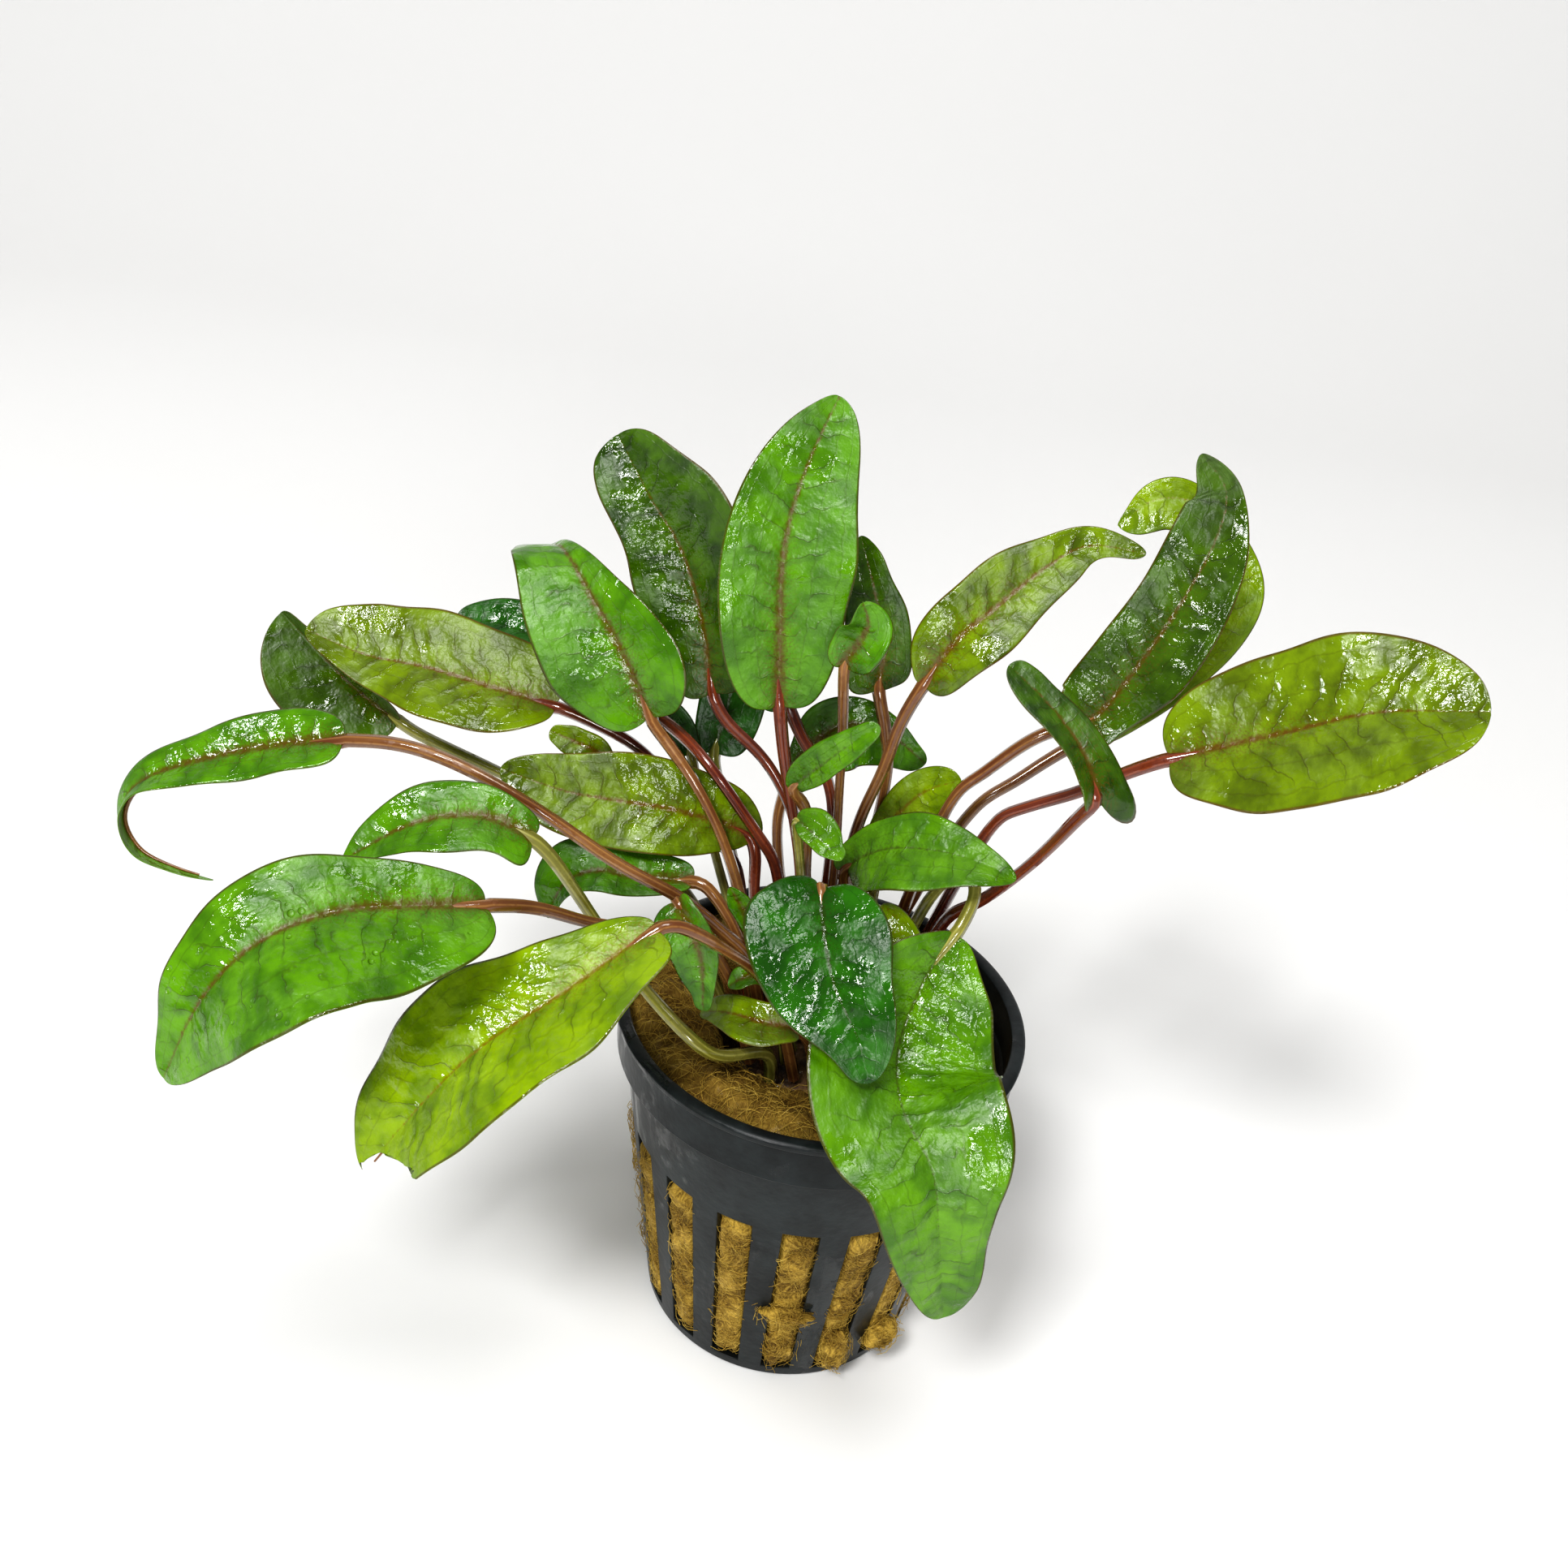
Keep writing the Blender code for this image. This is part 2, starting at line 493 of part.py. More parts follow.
def blade_ring(leaf, spot, way, station):
    """Points round the blade: an edge, the upper face, an edge, the lower face."""
    thinning = 1 - TIP_THINNING * STATIONS[station]
    ring = []
    for across, face in ((1, 0), (0.5, 1), (0, 1), (-0.5, 1),
                         (-1, 0), (-0.5, -1), (0, -1), (0.5, -1)):
        thick = RIB_THICKNESS if across == 0 else BLADE_THICKNESS
        lift = face * thick * thinning / 2
        ring.append(blade_point(leaf, spot, way, station, across, lift))
    return ring


def round_ring(leaf, spot, way, radius, t):
    side, up = leaf_frame(leaf, way, t)
    return [spot + radius * (side * math.cos(a) + up * math.sin(a))
            for a in even_angles(RING_SIDES)]


def leaf_rings(leaf):
    """Every ring of a leaf, from the foot of its stalk to its tip."""
    points = [(x, y, max(z, STALK_FOOT)) for x, y, z in leaf.stalk] + list(leaf.blade)
    path = smooth_path(points)
    reach = lengths_along(path)
    base = reach[len(leaf.stalk) * CURVE_STEPS]
    rings = []
    steps = max(3, round(base / STALK_STEP))
    for i in range(steps):
        spot, way = place_on(path, reach, base * i / steps)
        if i == 0:
            way = np.array([0.0, 0.0, 1.0])
        rings.append(round_ring(leaf, spot, way, STALK_RADIUS, 0.0))
    for station, t in enumerate(STATIONS):
        spot, way = place_on(path, reach, base + t * (reach[-1] - base))
        if t == 0.0:
            rings.append(round_ring(leaf, spot, way, STALK_RADIUS, t))
        elif station == len(STATIONS) - 1:
            rings.append(round_ring(leaf, spot, way, TIP_RADIUS, t))
        else:
            rings.append(blade_ring(leaf, spot, way, station))
    return rings


def add_leaf(leaf):
    rings = leaf_rings(leaf)
    points = [p for ring in rings for p in ring]
    faces = []
    for i in range(len(rings) - 1):
        for j in range(RING_SIDES):
            k = (j + 1) % RING_SIDES
            near, far = RING_SIDES * i, RING_SIDES * (i + 1)
            faces.append((near + j, near + k, far + k, far + j))
    faces.append(tuple(range(RING_SIDES - 1, -1, -1)))
    faces.append(tuple(range(len(points) - RING_SIDES, len(points))))
    add_node(leaf.name, points, faces, "leaf_" + leaf.tone)


def main():
    clear_scene()
    add_pot()
    add_rock_wool()
    add_crown()
    for leaf in LEAVES:
        add_leaf(leaf)


if __name__ == "__main__":
    main()
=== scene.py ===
# %% [markdown]
# A potted cryptocoryne: a water plant whose leaves rise on slender stalks from one crown,
# held by golden rock wool in a small slotted net pot. It has just come out of the water,
# so every leaf is wet and shines in broken white patches.
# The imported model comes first. It is the frame that every piece below is fitted to.

# %% Load the frame
import math
from collections import namedtuple

import bpy
import bmesh
import numpy as np
from mathutils import Matrix, Vector


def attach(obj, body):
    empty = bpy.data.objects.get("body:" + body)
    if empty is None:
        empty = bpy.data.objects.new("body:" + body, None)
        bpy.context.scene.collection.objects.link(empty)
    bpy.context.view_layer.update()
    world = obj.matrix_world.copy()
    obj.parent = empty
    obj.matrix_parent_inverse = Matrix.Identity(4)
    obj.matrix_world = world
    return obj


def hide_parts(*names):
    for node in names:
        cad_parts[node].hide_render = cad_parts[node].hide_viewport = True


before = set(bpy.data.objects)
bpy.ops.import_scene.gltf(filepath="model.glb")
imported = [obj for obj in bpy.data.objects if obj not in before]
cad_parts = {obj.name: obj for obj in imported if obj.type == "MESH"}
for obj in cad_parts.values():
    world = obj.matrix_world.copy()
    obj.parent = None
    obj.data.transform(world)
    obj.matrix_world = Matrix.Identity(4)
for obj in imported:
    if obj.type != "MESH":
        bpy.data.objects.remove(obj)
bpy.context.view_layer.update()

MM = 0.001

# %% [markdown]
# The photograph looks down on the plant by about thirty degrees, with the camera held a
# little askew. The rim, collar and foot of the pot give its place: three circles of known
# size pin a camera down well. A paper sweep stands in for the white table and wall.

# %% Camera
CAMERA_PLACE = Vector((-9.1, -165.7, 183.5)) * MM
CAMERA_TILT = 31.0
CAMERA_ROLL = 8.0
CAMERA_LENS = 36.15

camera = bpy.data.objects.new("camera", bpy.data.cameras.new("camera"))
bpy.context.scene.collection.objects.link(camera)
camera.data.lens = CAMERA_LENS
camera.data.sensor_width = 36.0
camera.data.clip_start = 0.01
camera.data.clip_end = 20.0
camera.matrix_world = (
    Matrix.Translation(CAMERA_PLACE)
    @ Matrix.Rotation(math.radians(90 - CAMERA_TILT), 4, "X")
    @ Matrix.Rotation(math.radians(CAMERA_ROLL), 4, "Z")
)
bpy.context.scene.camera = camera
bpy.context.scene.view_settings.view_transform = "Standard"
bpy.context.scene.view_settings.look = "Medium High Contrast"
print("camera stands", round(CAMERA_PLACE.length / MM), "mm from the pot's foot")


# %% [markdown]
# Shader nodes are easier to read when a line makes one node and wires it. These helpers
# do that: a value may be a number, a colour or the output of another node.

# %% Node helpers
def add_node(tree, kind, inputs=None, **settings):
    """Add a node, set its properties, and fill or link its inputs."""
    made = tree.nodes.new(kind)
    for key, value in settings.items():
        setattr(made, key, value)
    for key, value in (inputs or {}).items():
        if isinstance(value, bpy.types.NodeSocket):
            tree.links.new(value, made.inputs[key])
        else:
            made.inputs[key].default_value = value
    return made


def calc(tree, operation, *values, clamp=False):
    """The output of one Math node."""
    inputs = dict(enumerate(values))
    return add_node(tree, "ShaderNodeMath", inputs, operation=operation,
                    use_clamp=clamp).outputs[0]


def ease(tree, value, low, high, start=0.0, end=1.0):
    """Goes smoothly from start to end while value goes from low to high."""
    inputs = {"Value": value, "From Min": low, "From Max": high,
              "To Min": start, "To Max": end}
    return add_node(tree, "ShaderNodeMapRange", inputs,
                    interpolation_type="SMOOTHSTEP").outputs["Result"]


def mix(tree, share, one, two):
    """A colour between one and two."""
    made = add_node(tree, "ShaderNodeMix", {0: share, 6: one, 7: two}, data_type="RGBA")
    return made.outputs[2]


def noise(tree, vector, scale, detail=2.0, roughness=0.5):
    """Soft random values around one half."""
    inputs = {"Vector": vector, "Scale": scale, "Detail": detail, "Roughness": roughness}
    return add_node(tree, "ShaderNodeTexNoise", inputs).outputs["Fac"]


def colour(red, green, blue):
    return (red, green, blue, 1.0)


def new_group(name, numbers, outputs):
    """A shader node group with named number inputs and named outputs."""
    tree = bpy.data.node_groups.new(name, "ShaderNodeTree")
    for label, value in numbers.items():
        socket = tree.interface.new_socket(name=label, in_out="INPUT",
                                           socket_type="NodeSocketFloat")
        socket.default_value = value
    for label in outputs:
        tree.interface.new_socket(name=label, in_out="OUTPUT",
                                  socket_type="NodeSocketFloat")
    start = tree.nodes.new("NodeGroupInput")
    end = tree.nodes.new("NodeGroupOutput")
    return tree, start.outputs, end.inputs


def use_group(tree, group, **numbers):
    """Place a group in a material with its own values, and give its outputs."""
    made = tree.nodes.new("ShaderNodeGroup")
    made.node_tree = group
    for label, value in numbers.items():
        made.inputs[label.replace("_", " ")].default_value = value
    return made.outputs


def new_material(name, **numbers):
    """An empty Principled material. Returns it, its node tree and its shader."""
    made = bpy.data.materials.new(name)
    made.use_nodes = True
    shader = made.node_tree.nodes["Principled BSDF"]
    for label, value in numbers.items():
        shader.inputs[label.replace("_", " ")].default_value = value
    return made, made.node_tree, shader


def shape_normal(tree, shader, height, distance, strength=1.0):
    """Feed a height, in metres once times distance, to the shader's normal."""
    bump = add_node(tree, "ShaderNodeBump",
                    {"Height": height, "Distance": distance, "Strength": strength})
    tree.links.new(bump.outputs["Normal"], shader.inputs["Normal"])


# %% Paper sweep and light
SWEEP_FRONT = -1.2
SWEEP_BACK = 0.45
SWEEP_CURVE = 0.5
SWEEP_TOP = 2.0
SWEEP_HALF_WIDTH = 2.0
SWEEP_STEPS = 24


def paper_sweep():
    """White paper that lies flat and then curves up behind the plant."""
    side_view = [(SWEEP_FRONT, 0.0)]
    for i in range(SWEEP_STEPS + 1):
        a = math.radians(90 * i / SWEEP_STEPS)
        side_view.append((SWEEP_BACK + SWEEP_CURVE * math.sin(a),
                          SWEEP_CURVE * (1 - math.cos(a))))
    side_view.append((SWEEP_BACK + SWEEP_CURVE, SWEEP_TOP))
    points = [(x, y, z) for y, z in side_view
              for x in (-SWEEP_HALF_WIDTH, SWEEP_HALF_WIDTH)]
    faces = [(i, i + 1, i + 3, i + 2) for i in range(0, len(points) - 2, 2)]
    mesh = bpy.data.meshes.new("paper_sweep")
    mesh.from_pydata(points, [], faces)
    mesh.shade_smooth()
    paper, tree, shader = new_material("white_paper", Roughness=0.9)
    place = add_node(tree, "ShaderNodeTexCoord").outputs["Object"]
    cloudy = noise(tree, place, 3.0)
    tone = mix(tree, cloudy, colour(0.80, 0.795, 0.785), colour(0.84, 0.838, 0.83))
    tree.links.new(tone, shader.inputs["Base Color"])
    mesh.materials.append(paper)
    made = bpy.data.objects.new("paper_sweep", mesh)
    bpy.context.scene.collection.objects.link(made)


def soft_light(name, place, aim, size, watts):
    """A square area light at place, in metres, that shines at aim."""
    data = bpy.data.lights.new(name, "AREA")
    data.shape = "SQUARE"
    data.size = size
    data.energy = watts
    lamp = bpy.data.objects.new(name, data)
    bpy.context.scene.collection.objects.link(lamp)
    lamp.location = place
    lamp.rotation_mode = "QUATERNION"
    lamp.rotation_quaternion = (Vector(aim) - Vector(place)).to_track_quat("-Z", "Y")


paper_sweep()
soft_light("window", (-0.42, -0.85, 1.28), (0, 0, 0.05), 0.30, 16.0)
soft_light("ceiling", (0.08, -0.33, 1.45), (0, 0, 0.05), 0.50, 6.5)
soft_light("low front", (0.10, -1.10, 0.42), (0, 0, 0.08), 0.26, 4.0)
world = bpy.data.worlds.new("room")
bpy.context.scene.world = world
world.use_nodes = True
world.node_tree.nodes["Background"].inputs["Color"].default_value = colour(1, 1, 1)
world.node_tree.nodes["Background"].inputs["Strength"].default_value = 0.20
print("sweep, three lights and a pale room made")


# %% [markdown]
# A leaf is a stalk that widens into one blade. The table below is the same one that the
# solids were made from: the points that stalk and midrib pass through, half widths to the
# left and right of the midrib, and where the upper face looks. The widths stand at equal
# steps of an angle, which puts them closest where an outline turns most, at base and tip.

# %% The leaves, in mm
Leaf = namedtuple(
    "Leaf",
    "name tone stalk blade left right faces fold lobe",
    defaults=((12, 12), 0.35),
)
STALK_FOOT = 43.9
LEAVES = (
    Leaf("leaf_tall_centre", "bright",
         [(-2.5, 3.5, 44), (-5, 3, 68), (-9, 4, 83)],
         [(-11, 5, 92), (-12, 6, 100), (-13, 8, 110), (-12, 11, 119), (-9, 14, 128.5)],
         (4, 6.5, 7.5, 7.5, 6.5, 4.5, 2), (4, 6.5, 8, 9, 7.5, 5.5, 3),
         [(0.05, -0.95, 0.3)]),
    Leaf("leaf_tall_back_left", "deep",
         [(-1.5, 8.8, 44), (-5, 9, 68), (-11, 12, 79), (-17, 14, 83)],
         [(-20, 15, 87), (-22, 17, 95), (-26, 20, 104), (-31, 22, 110), (-36, 26, 116)],
         (4, 5.5, 7, 7.5, 6, 5.5, 4), (4, 6.5, 8, 9, 8.5, 6, 3.5),
         [(-0.3, -0.8, 0.5)]),
    Leaf("leaf_left_folded_tip", "bright",
         [(-7.5, 1.8, 44), (-13, 2.5, 66), (-19, 4, 78), (-25, 7, 84)],
         [(-27, 8, 86), (-31, 10, 93), (-36, 13, 99), (-41, 19, 102.5), (-45, 27, 99)],
         (5.5, 9, 10, 9, 7, 5.5, 3.5), (5, 8, 6.5, 4, 2, 1, 0.5),
         [(-0.5, -0.7, 0.5), (-0.4, -0.4, 0.8), (-0.2, 0.2, 1)]),
    Leaf("leaf_left_olive_long", "olive",
         [(-9.5, 3.5, 44), (-13, 9, 62), (-16, 10, 67), (-27, 12, 78), (-34, 13, 81)],
         [(-40, 13, 83), (-49, 14, 84), (-58, 15, 85), (-66, 16, 85), (-74, 17, 87)],
         (3, 6, 7.5, 7.5, 5, 3, 1.5), (4.5, 7, 7.5, 8, 7.5, 6, 3.5),
         [(0, -0.6, 0.8)]),
    Leaf("leaf_left_hidden", "deep",
         [(-4, 6.5, 44), (-8, 6, 66), (-11, 5, 72), (-17, 5, 80), (-22, 9, 83)],
         [(-28, 14, 84), (-35, 19, 86), (-42, 22, 87), (-49, 24, 88), (-56, 25, 88)],
         (2.5, 4, 5, 5, 4.5, 3.5, 2), (2.5, 4, 5, 5, 4.5, 3.5, 2),
         [(0, -0.5, 0.85)]),
    Leaf("leaf_left_pale_small", "olive",
         [(-10, -1.3, 44), (-21, 4, 61), (-25, 6, 67), (-29, 9, 73)],
         [(-32, 10, 77), (-34, 10, 79), (-37, 10, 80), (-40, 10, 81)],
         (1, 1.5, 2, 2, 2, 1.5, 1), (1, 1.5, 2, 2, 2, 1.5, 1),
         [(0, -0.9, 0.4)]),
    Leaf("leaf_far_left_folded", "olive",
         [(-10, 1.2, 44), (-19, 7, 60), (-32, 12, 66), (-48, 16, 70), (-58, 17, 73)],
         [(-62, 18, 74.5), (-68, 19, 78), (-73, 20, 82), (-78.5, 21, 87)],
         (3, 6, 8, 9, 8.5, 6.5, 3.5), (2, 3.5, 4, 4, 4, 3, 2),
         [(0.1, -0.8, 0.6)], fold=(5, 70)),
    Leaf("leaf_back_dark", "deep",
         [(-5.8, 7.5, 44), (-11, 10, 53), (-14, 13, 61), (-18, 15, 74)],
         [(-19, 17, 77), (-18, 20, 83), (-18, 23, 89), (-21, 26, 95)],
         (2.5, 3.5, 4, 4, 3.5, 3, 2), (3, 4.5, 5, 5, 4.5, 3.5, 2),
         [(0, -0.9, 0.3)]),
    Leaf("leaf_back_dark_small", "deep",
         [(-8, 6, 44), (-13, 9, 55), (-17, 12, 64), (-21, 15, 74)],
         [(-22, 16, 77), (-25, 17, 81), (-29, 18, 85)],
         (1.5, 2, 2.5, 2.5, 2, 1.5, 1), (1.5, 2, 2.5, 2.5, 2, 1.5, 1),
         [(0, -0.9, 0.3)]),
    Leaf("leaf_far_left_drooping", "bright",
         [(-7, -3.5, 44), (-10, -3, 58), (-14, -4, 63), (-20, -7, 70), (-28, -9, 75),
          (-39, -9, 82), (-52, -7, 86)],
         [(-62, -6, 85), (-70, -6, 83), (-78, -8, 81), (-85, -10, 78), (-87, -12, 74),
          (-85, -13, 70), (-81, -13, 68), (-76, -13, 67)],
         (3.5, 4.5, 4.5, 3.5, 2.5, 2, 1), (3, 4.5, 4, 3, 2.5, 2, 1),
         [(0, -0.5, 0.85), (0, -0.5, 0.85), (-0.9, -0.3, 0.2), (-0.2, -0.5, -0.86)]),
    Leaf("leaf_left_red_rib", "olive",
         [(-6, 4.2, 44), (-11, 5, 62)],
         [(-12, 8, 70), (-21, 6, 74), (-29, 5, 75), (-37, 4, 76), (-45, 4, 78)],
         (2, 4, 6, 6.5, 6, 4.5, 2), (2.5, 5, 6, 6.5, 5.5, 4, 2),
         [(0, -0.8, 0.6)]),
    Leaf("leaf_left_low", "bright",
         [(-5.5, -8.5, 44), (-6.5, -10, 50), (-12, -16.5, 53.5), (-16, -18, 57),
          (-23, -14, 61), (-30, -11, 68), (-34, -13, 76)],
         [(-37, -15, 81), (-42, -15, 83), (-47, -16, 83), (-52, -17, 81), (-58, -19, 77)],
         (4, 4.5, 5, 5, 3.5, 2, 1), (2, 3, 4, 4.5, 3.5, 2.5, 1),
         [(0, -0.5, 0.85)]),
    Leaf("leaf_left_hanging_tip", "deep",
         [(-8, -0.4, 44), (-11.5, -1, 59), (-16, 0, 66)],
         [(-19, 1, 67), (-26, 0, 67), (-31, -1, 68), (-35, -2, 66), (-37, -3, 61)],
         (1.5, 2.5, 3, 3.5, 2.5, 1.5, 1), (2, 3, 3.5, 4, 5, 3.5, 1.5),
         [(-0.2, -0.5, 0.8)]),
    Leaf("leaf_left_wide_front", "bright",
         [(-8.5, -5.5, 44), (-14, -5, 60), (-19, -8, 65), (-29, -15, 70), (-35, -20, 75)],
         [(-40, -25, 78), (-50, -29, 79), (-56, -32, 79), (-62, -36, 77), (-67, -39, 71),
          (-71, -41, 61)],
         (5.5, 9.5, 12.5, 13, 11, 6.5, 3), (2.5, 4.5, 6, 7.5, 6, 4, 2),
         [(-0.2, -0.55, 0.8)]),
    Leaf("leaf_front_left_olive", "olive",
         [(-2.5, -7.5, 44), (-7, -11, 61), (-13, -18, 71), (-17, -20.5, 75)],
         [(-21, -22, 76), (-30, -28, 70), (-38, -33, 65), (-44, -36, 58), (-50, -39, 49)],
         (5, 7, 9.5, 10, 9.5, 7.5, 3.5), (2.5, 5, 7, 9.5, 9, 7, 3.5),
         [(-0.4, -0.5, 0.75)]),
    Leaf("leaf_rim_arched", "bright",
         [(-6.2, -6.2, 44), (-12.5, -7.5, 59), (-18, -10, 69)],
         [(-20, -12, 73), (-18, -14, 71), (-16, -15, 67), (-15, -16, 60)],
         (1.5, 2, 2.5, 2.5, 2, 1.5, 1), (2, 4, 4, 3.5, 3, 1.5, 1),
         [(-0.3, -0.7, 0.6)]),
    Leaf("leaf_rim_young", "bright",
         [(-4, -4.8, 44), (-6, -7, 55)],
         [(-8.5, -8.5, 60.5), (-10.5, -9.5, 61), (-12.5, -10, 59.5)],
         (1, 1.5, 1.5, 1.5, 1.5, 1, 0.5), (1, 1.5, 1.5, 1.5, 1.5, 1, 0.5),
         [(-0.3, -0.5, 0.8)]),
    Leaf("leaf_over_wool", "olive",
         [(0, -8.5, 44), (-1, -11, 52)],
         [(-3, -13.5, 57), (-8, -13.5, 57.5), (-12, -12, 57), (-15.5, -10, 55)],
         (1.5, 2.5, 3.5, 3.5, 2.5, 1.5, 1), (1.5, 2.5, 2.5, 2.5, 2.5, 2, 1),
         [(0, -0.5, 0.85)]),
    Leaf("leaf_front_dark_wide", "deep",
         [(1, -4, 44), (-1, -6, 63), (-2, -8, 72)],
         [(-3, -9, 76), (-2, -14, 73), (0, -19, 69), (3.5, -23, 65), (5.5, -26, 61)],
         (3, 6.5, 8, 7.5, 6, 4, 2), (4.5, 9, 9.5, 8, 5.5, 3.5, 2),
         [(0, -0.85, 0.5)]),
    Leaf("leaf_front_light", "bright",
         [(3.5, -1, 44), (3, -2, 61), (4, -2.5, 67)],
         [(4.5, -3.5, 70), (6.5, -8, 67.5), (7.5, -13, 64), (8.5, -16, 60)],
         (2, 3.5, 4.5, 4, 3, 2, 1), (2, 4, 5, 5, 4, 2.5, 1),
         [(0.3, -0.85, 0.5)]),
    Leaf("leaf_front_over_rim", "deep",
         [(6, -1.5, 44), (10, -1, 68), (14, -3, 77), (16, -6, 76)],
         [(14, -10, 72), (11, -13, 67), (9, -18, 60), (10, -25, 57), (14, -31, 54),
          (16, -34, 47), (19, -34, 33)],
         (4, 9.5, 12, 12, 7, 5, 3), (3, 8, 12, 10.5, 7.5, 5, 2.5),
         [(0.2, -0.85, 0.5)]),
    Leaf("leaf_right_bright", "bright",
         [(5.5, 2.5, 44), (2, 3, 65)],
         [(0, 2, 71), (4, -1, 77), (10, -4, 80), (16, -7, 81), (20, -8, 80)],
         (2, 3, 4, 4.5, 3.5, 2, 1), (2, 4.5, 6, 6.5, 5.5, 3.5, 1.5),
         [(0, -0.6, 0.8)]),
    Leaf("leaf_right_young_yellow", "bright",
         [(3.5, 5, 44), (5, 8, 65)],
         [(4, 8, 72), (6, 8, 77), (9, 8, 81), (13, 7, 84)],
         (1.5, 2, 2.5, 3, 3, 2.5, 1.5), (1, 1.5, 2.5, 3, 3.5, 2.5, 1.5),
         [(0, -0.8, 0.6)]),
    Leaf("leaf_middle_small", "bright",
         [(-2, 1, 44), (-5, 0, 73), (-6, 0, 81)],
         [(-8, -1, 84), (-5, -3, 89), (-2, -4, 93), (1, -4, 96)],
         (1, 2, 2.5, 2.5, 2, 1.5, 1), (1, 1.5, 2, 2, 2, 1.5, 1),
         [(0, -0.8, 0.6)]),
    Leaf("leaf_middle_young", "bright",
         [(0, -1.8, 44), (-6, -3, 76)],
         [(-7, -5, 82), (-5, -7, 82), (-3, -8, 81), (-1, -9, 80)],
         (1, 2, 3, 3, 2.5, 1.5, 1), (0.5, 1, 1.5, 1.5, 1.5, 1, 0.5),
         [(0, -0.8, 0.6)]),
    Leaf("leaf_middle_back", "deep",
         [(-3.5, 9, 44), (-9, 12, 67), (-9, 13, 74)],
         [(-8, 14, 78), (-5, 15, 83), (-1, 16, 85), (4, 16, 84), (9, 15, 81)],
         (1.5, 2.5, 4, 3.5, 2.5, 1.5, 1), (2, 4, 6, 6, 5, 3.5, 2),
         [(0, -0.8, 0.6)]),
    Leaf("leaf_curled", "bright",
         [(0, 4, 44), (-1, 5, 68), (-2, 4.5, 80), (-3, 3, 92)],
         [(-4, 2, 100), (-3, 2, 102.5), (-2, 1.5, 106), (-3, 1, 109)],
         (1.5, 2.5, 3, 3, 2.5, 2, 1), (1.5, 3, 3.5, 3.5, 3, 2, 1),
         [(0, -0.7, 0.7)]),
    Leaf("leaf_back_olive", "olive",
         [(1.2, 9, 44), (4, 10, 77), (3, 10, 87)],
         [(1, 11, 93), (1, 12, 98), (-1, 14, 104), (-4, 16, 111)],
         (3.5, 4.5, 5, 4.5, 3.5, 2.5, 1), (1.5, 3.5, 3.5, 3.5, 2.5, 2, 1),
         [(0, -0.9, 0.4)]),
    Leaf("leaf_right_long_tip", "olive",
         [(1, 6.5, 44), (0.5, 6.5, 72), (3, 6, 84), (4, 6, 91)],
         [(6, 6, 97), (9, 7, 103), (13, 9, 107), (18, 11, 112), (23, 13, 115), (30, 13, 115)],
         (2, 4.5, 5, 5, 3, 2, 1), (3, 4.5, 5.5, 4.5, 3.5, 1.5, 1),
         [(0, -0.8, 0.6)]),
    Leaf("leaf_right_twisted", "deep",
         [(6, 6, 44), (11, 4, 80), (15, 5, 86), (20, 5, 92)],
         [(24, 6, 94), (28, 7, 96), (33, 9, 106), (37, 12, 116), (38, 15, 123), (34, 16, 127)],
         (4.5, 6, 6, 5.5, 5.5, 4.5, 2), (3.5, 4, 6, 6, 4.5, 2, 1),
         [(-0.2, -0.9, 0.3)]),
    Leaf("leaf_right_arched_back", "bright",
         [(4, 8, 44), (14, 9, 76), (20, 11, 82), (25, 13, 86)],
         [(29, 14, 89), (36, 16, 95), (42, 18, 103), (43.5, 20, 111), (39, 22, 118),
          (32, 22, 119), (27.5, 21, 115)],
         (2, 3.5, 4.5, 4.5, 4.5, 4.5, 3), (2, 2.5, 3, 3.5, 1.5, 2.5, 1),
         [(0, -0.8, 0.6)]),
    Leaf("leaf_right_edge_on", "deep",
         [(8.5, 0, 44), (13, -1, 67), (17, -2.5, 72), (22, -6.5, 82), (25, -11, 92)],
         [(26, -12, 95), (24, -10, 99), (20, -8, 103), (14, -6, 107)],
         (2, 2.5, 2.5, 3, 3, 2.5, 1.5), (5, 4, 3, 2.5, 2, 2, 1.5),
         [(0.5, -0.7, 0.5)], lobe=1.2),
    Leaf("leaf_far_right_wide", "bright",
         [(8, 3.5, 44), (16, 1, 79), (20, 0, 85), (26, -1, 89), (31, -3, 94)],
         [(35, -4, 97), (40, -5, 100), (46, -7, 104), (54, -10, 109.5), (64, -13.5, 113)],
         (4.5, 7.5, 9, 9.5, 9, 7, 4), (4.5, 7.5, 10, 10.5, 10.5, 8, 4.5),
         [(0, -0.6, 0.8)], lobe=0.3),
    Leaf("leaf_front_sprout", "bright",
         [(-3, -2, 44), (-7, -3.5, 60)],
         [(-10, -5, 65), (-12, -5, 68), (-14, -5, 71)],
         (1, 1.5, 1.5, 1.5, 1.5, 1, 0.5), (1, 1.5, 1.5, 1.5, 1.5, 1, 0.5),
         [(0, -0.9, 0.4)]),
    Leaf("leaf_behind_centre", "deep",
         [(-1.5, 6.8, 44), (-2, 7, 77), (-7, 8, 85)],
         [(-10, 9, 90), (-14, 11, 97), (-15, 12, 105), (-15, 14, 112)],
         (2.5, 4, 5, 5, 4.5, 3.5, 2), (2.5, 4, 5, 5, 4.5, 3.5, 2),
         [(0, -0.9, 0.4)]),
)
print(len(LEAVES), "leaves in the table")


# %% [markdown]
# A blade is a grid of points: rows across it, columns along it. The midrib is a smooth
# curve through its points, and at each row a side and an upward direction come from the
# way the curve runs and the way the leaf faces. All rows are worked out together in
# arrays, which is quick and keeps the sums short.

# %% Curves and frames
CURVE_STEPS = 12
LOBE_FADE = 0.12
WAY_STEP = 1.6
STALK_EASING = 22


